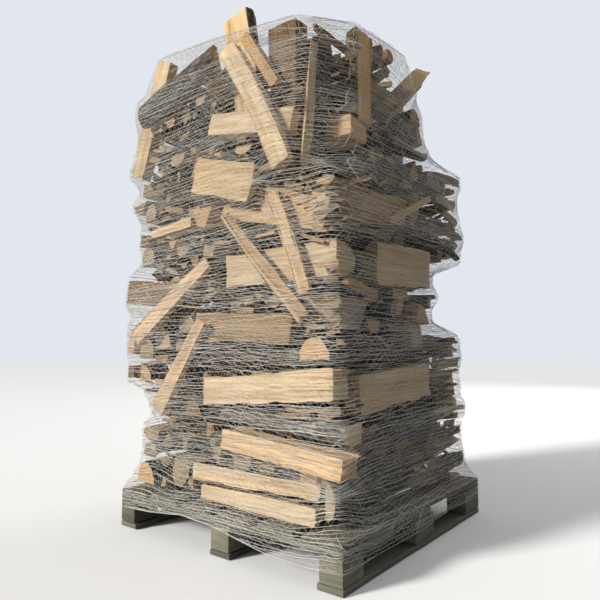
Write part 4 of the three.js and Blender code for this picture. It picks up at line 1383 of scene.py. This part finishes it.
class FIREWOOD_OT_net(bpy.types.Operator):
    """Wind the knitted net round the load, strand by strand"""
    bl_idname = "firewood.net"
    bl_label = "Pallet net"

    def execute(self, context):
        settings = context.scene.firewood_net
        poking = [v for v in STORE["volumes"] if v.named in ("split-top-poking-out",)]
        outline = Outline(STORE["volumes"], poking)
        material = net_finish(settings)
        rng = random.Random(12)
        pieces = {}
        self.wind(outline, pieces, "first", 1, settings.spacing, 0.0018, settings.strand_width,
                  NET_FOOT, NET_END, 0.0, 1, 0.010, 0.0)
        self.wind(outline, pieces, "second", 11, 0.0165, 0.0032, settings.strand_width * 0.85,
                  NET_FOOT, 1.64, 0.3, 1, 0.020, 0.8)
        self.wind(outline, pieces, "third", 8, 0.0215, 0.0044, settings.strand_width * 0.75,
                  0.13, 1.74, 0.6, -1, 0.022, 1.0)
        self.threads(outline, pieces, settings)
        self.strays(outline, pieces, settings, rng)
        for name, soup in pieces.items():
            obj = soup.build(name, [material])
            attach(obj, BODY)
            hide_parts("pallet-net")
        return {"FINISHED"}

    def wind(self, outline, pieces, wrap, starts, spacing, stand_off, width, low, high, phase, way,
             sway, lean):
        """One wrap of the net: parallel strands that climb as they go round.

        Starts is how many strands lie side by side, way is the sense of winding, sway is how far
        they wander up and down, and lean is how steeply they cross the right face."""
        climb = starts * spacing
        turns = (high - low) / climb + 1.0
        per_turn = 170
        for k in range(starts):
            count = int(turns * per_turn)
            angle = np.arange(count) * 2 * np.pi / per_turn + phase + k * 0.2
            z = low - climb * 0.5 + k * spacing + climb * (angle - angle[0]) / (2 * np.pi)
            z = (z + sway * value_noise(angle * 1.7, z * 5, 77 + starts)
                 + 0.003 * value_noise(angle * 11, z * 70, 91))
            z = z + 0.0026 * value_noise(angle * 38, z * 150, 17 + starts)
            z = (z + lean * 0.11 * np.clip(np.cos(angle * way - 0.1), 0, 1) * np.sin(angle * way)
                 * np.exp(-((z - 0.42) / 0.3) ** 2))
            angle = angle * way
            z = gathered(angle, z, PULLS)
            hem = hem_height(angle) + (k % 3) * 0.002
            keep = (z > hem - 0.02) & (z < high)
            z = np.maximum(z, hem)
            points = outline.place(angle, z, stand_off)
            self.cut(pieces, f"net-{wrap}-wrap", points, keep, z, width)

    def cut(self, pieces, name, points, keep, z, width):
        """Splits a long strand by height, so that each piece stays light."""
        half = np.where(z < 0.9, 0, 1)
        breaks = np.flatnonzero(np.diff(half * 2 + keep.astype(int)) != 0) + 1
        for part in np.split(np.arange(len(points)), breaks):
            if len(part) < 2 or not keep[part[0]]:
                continue
            label = name + ("-upper" if half[part[0]] else "-lower")
            if part[-1] + 1 < len(points) and keep[part[-1] + 1]:
                part = np.append(part, part[-1] + 1)
            strand(pieces.setdefault(label, Soup()), points[part], width, width * 0.5)

    def strays(self, outline, pieces, settings, rng):
        """Loose threads that run across the strands at all slopes."""
        for number in range(2600):
            start, z0 = rng.uniform(0, 2 * math.pi), rng.uniform(0.12, 1.74)
            span, rise = rng.uniform(0.03, 0.14) * rng.choice((-1, 1)), rng.gauss(0, 0.03)
            t = np.linspace(0, 1, 6)
            angle = (start + span * t) % (2 * math.pi)
            z = z0 + rise * t + 0.012 * rng.uniform(-1, 1) * np.sin(t * math.pi)
            points = outline.place(angle, z, 0.005)
            strand(pieces.setdefault("net-strays", Soup()), points, settings.strand_width * 0.7,
                   settings.strand_width * 0.4)

    def threads(self, outline, pieces, settings):
        """The fine zigzag threads that knit neighbouring strands together."""
        rows = np.arange(0.06, NET_END, settings.spacing)
        per_turn = 230
        for number, row in enumerate(rows):
            angle = np.arange(per_turn + 1) * 2 * np.pi / per_turn + (number % 2) * 0.012
            z = row + np.where(np.arange(per_turn + 1) % 2, 0.5, -0.5) * settings.spacing * 1.5
            z = z + 0.004 * value_noise(angle * 40, z * 0 + number * 3.1, 5)
            z = z + 0.010 * value_noise(angle * 1.7, z * 5, 77)
            z = gathered(angle, z, PULLS)
            hem = hem_height(angle)
            keep = z > hem - 0.01
            z = np.maximum(z, hem)
            points = outline.place(angle, z, 0.0022)
            self.cut(pieces, "net-threads", points, keep, np.full(len(z), row),
                     settings.strand_width * 0.62)


class FIREWOOD_OT_stage(bpy.types.Operator):
    """Set the pale floor, the soft lights and the camera"""
    bl_idname = "firewood.stage"
    bl_label = "Stage"

    def execute(self, context):
        deselect_all()
        bpy.ops.mesh.primitive_plane_add(size=60, location=(0, 0, -0.0005))
        floor = context.object
        floor.name = "studio-floor"
        f = Finish("pale floor", 0.9)
        seen = f.node("ShaderNodeLightPath").outputs["Is Camera Ray"]
        floor.data.materials.append(f.done(f.mix(seen, (0.3, 0.3, 0.3, 1), (0.86, 0.86, 0.85, 1))))
        world = bpy.data.worlds.new("pale studio")
        context.scene.world = world
        world.use_nodes = True
        nodes, links = world.node_tree.nodes, world.node_tree.links
        background = nodes["Background"]
        background.inputs["Color"].default_value = (0.90, 0.94, 1.0, 1)
        seen = nodes.new("ShaderNodeLightPath").outputs["Is Camera Ray"]
        strength = nodes.new("ShaderNodeMapRange")
        strength.inputs["To Min"].default_value = 0.34
        strength.inputs["To Max"].default_value = 0.85
        links.new(seen, strength.inputs["Value"])
        links.new(strength.outputs["Result"], background.inputs["Strength"])
        self.light("key", "SUN", (-4.2, -9.5, 5.6), energy=4.9, angle=0.2, color=(1.0, 0.975, 0.94))
        self.light("rim", "AREA", (1.5, 7.5, 5.0), shape="SQUARE", size=4.0, energy=260,
                   color=(1.0, 0.98, 0.95))
        self.camera(context)
        context.scene.view_settings.view_transform = "Standard"
        return {"FINISHED"}

    def light(self, name, kind, place, **values):
        data = bpy.data.lights.new(name, kind)
        for key, value in values.items():
            setattr(data, key, value)
        lamp = bpy.data.objects.new(name, data)
        lamp.location = place
        lamp.rotation_mode = "QUATERNION"
        lamp.rotation_quaternion = (Vector(LOAD_MIDDLE) - Vector(place)).to_track_quat("-Z", "Y")
        bpy.context.scene.collection.objects.link(lamp)

    def camera(self, context):
        data = bpy.data.cameras.new("camera")
        data.sensor_width = 36
        data.lens = CAMERA_LENS
        camera = bpy.data.objects.new("camera", data)
        azimuth, elevation = math.radians(CAMERA_AZIMUTH), math.radians(CAMERA_ELEVATION)
        back = Vector((math.sin(azimuth) * math.cos(elevation), -math.cos(azimuth) * math.cos(elevation),
                       math.sin(elevation)))
        camera.location = CAMERA_PLACE
        camera.rotation_mode = "QUATERNION"
        camera.rotation_quaternion = (-back).to_track_quat("-Z", "Y")
        context.scene.collection.objects.link(camera)
        context.scene.camera = camera


class FIREWOOD_PT_panel(bpy.types.Panel):
    bl_idname = "FIREWOOD_PT_panel"
    bl_label = "Pallet of firewood"
    bl_space_type = "VIEW_3D"
    bl_region_type = "UI"
    bl_category = "Firewood"

    def draw(self, context):
        layout = self.layout
        scene = context.scene
        for group in (scene.firewood_pallet, scene.firewood_logs, scene.firewood_net):
            box = layout.box()
            for key in group.__annotations__:
                box.prop(group, key)
        for operator in OPERATORS:
            layout.operator(operator.bl_idname)


OPERATORS = (FIREWOOD_OT_stage, FIREWOOD_OT_pallet, FIREWOOD_OT_named_logs, FIREWOOD_OT_heap,
             FIREWOOD_OT_net)
CLASSES = (FirewoodLogSettings, FirewoodNetSettings, FirewoodPalletSettings, *OPERATORS,
           FIREWOOD_PT_panel)


def register():
    for item in CLASSES:
        bpy.utils.register_class(item)
    bpy.types.Scene.firewood_logs = bpy.props.PointerProperty(type=FirewoodLogSettings)
    bpy.types.Scene.firewood_net = bpy.props.PointerProperty(type=FirewoodNetSettings)
    bpy.types.Scene.firewood_pallet = bpy.props.PointerProperty(type=FirewoodPalletSettings)


def unregister():
    del bpy.types.Scene.firewood_pallet
    del bpy.types.Scene.firewood_net
    del bpy.types.Scene.firewood_logs
    for item in reversed(CLASSES):
        bpy.utils.unregister_class(item)


def main():
    register()
    bpy.ops.firewood.stage()
    bpy.ops.firewood.pallet()
    bpy.ops.firewood.named_logs()
    bpy.ops.firewood.heap()
    bpy.ops.firewood.net()


if __name__ == "__main__":
    main()
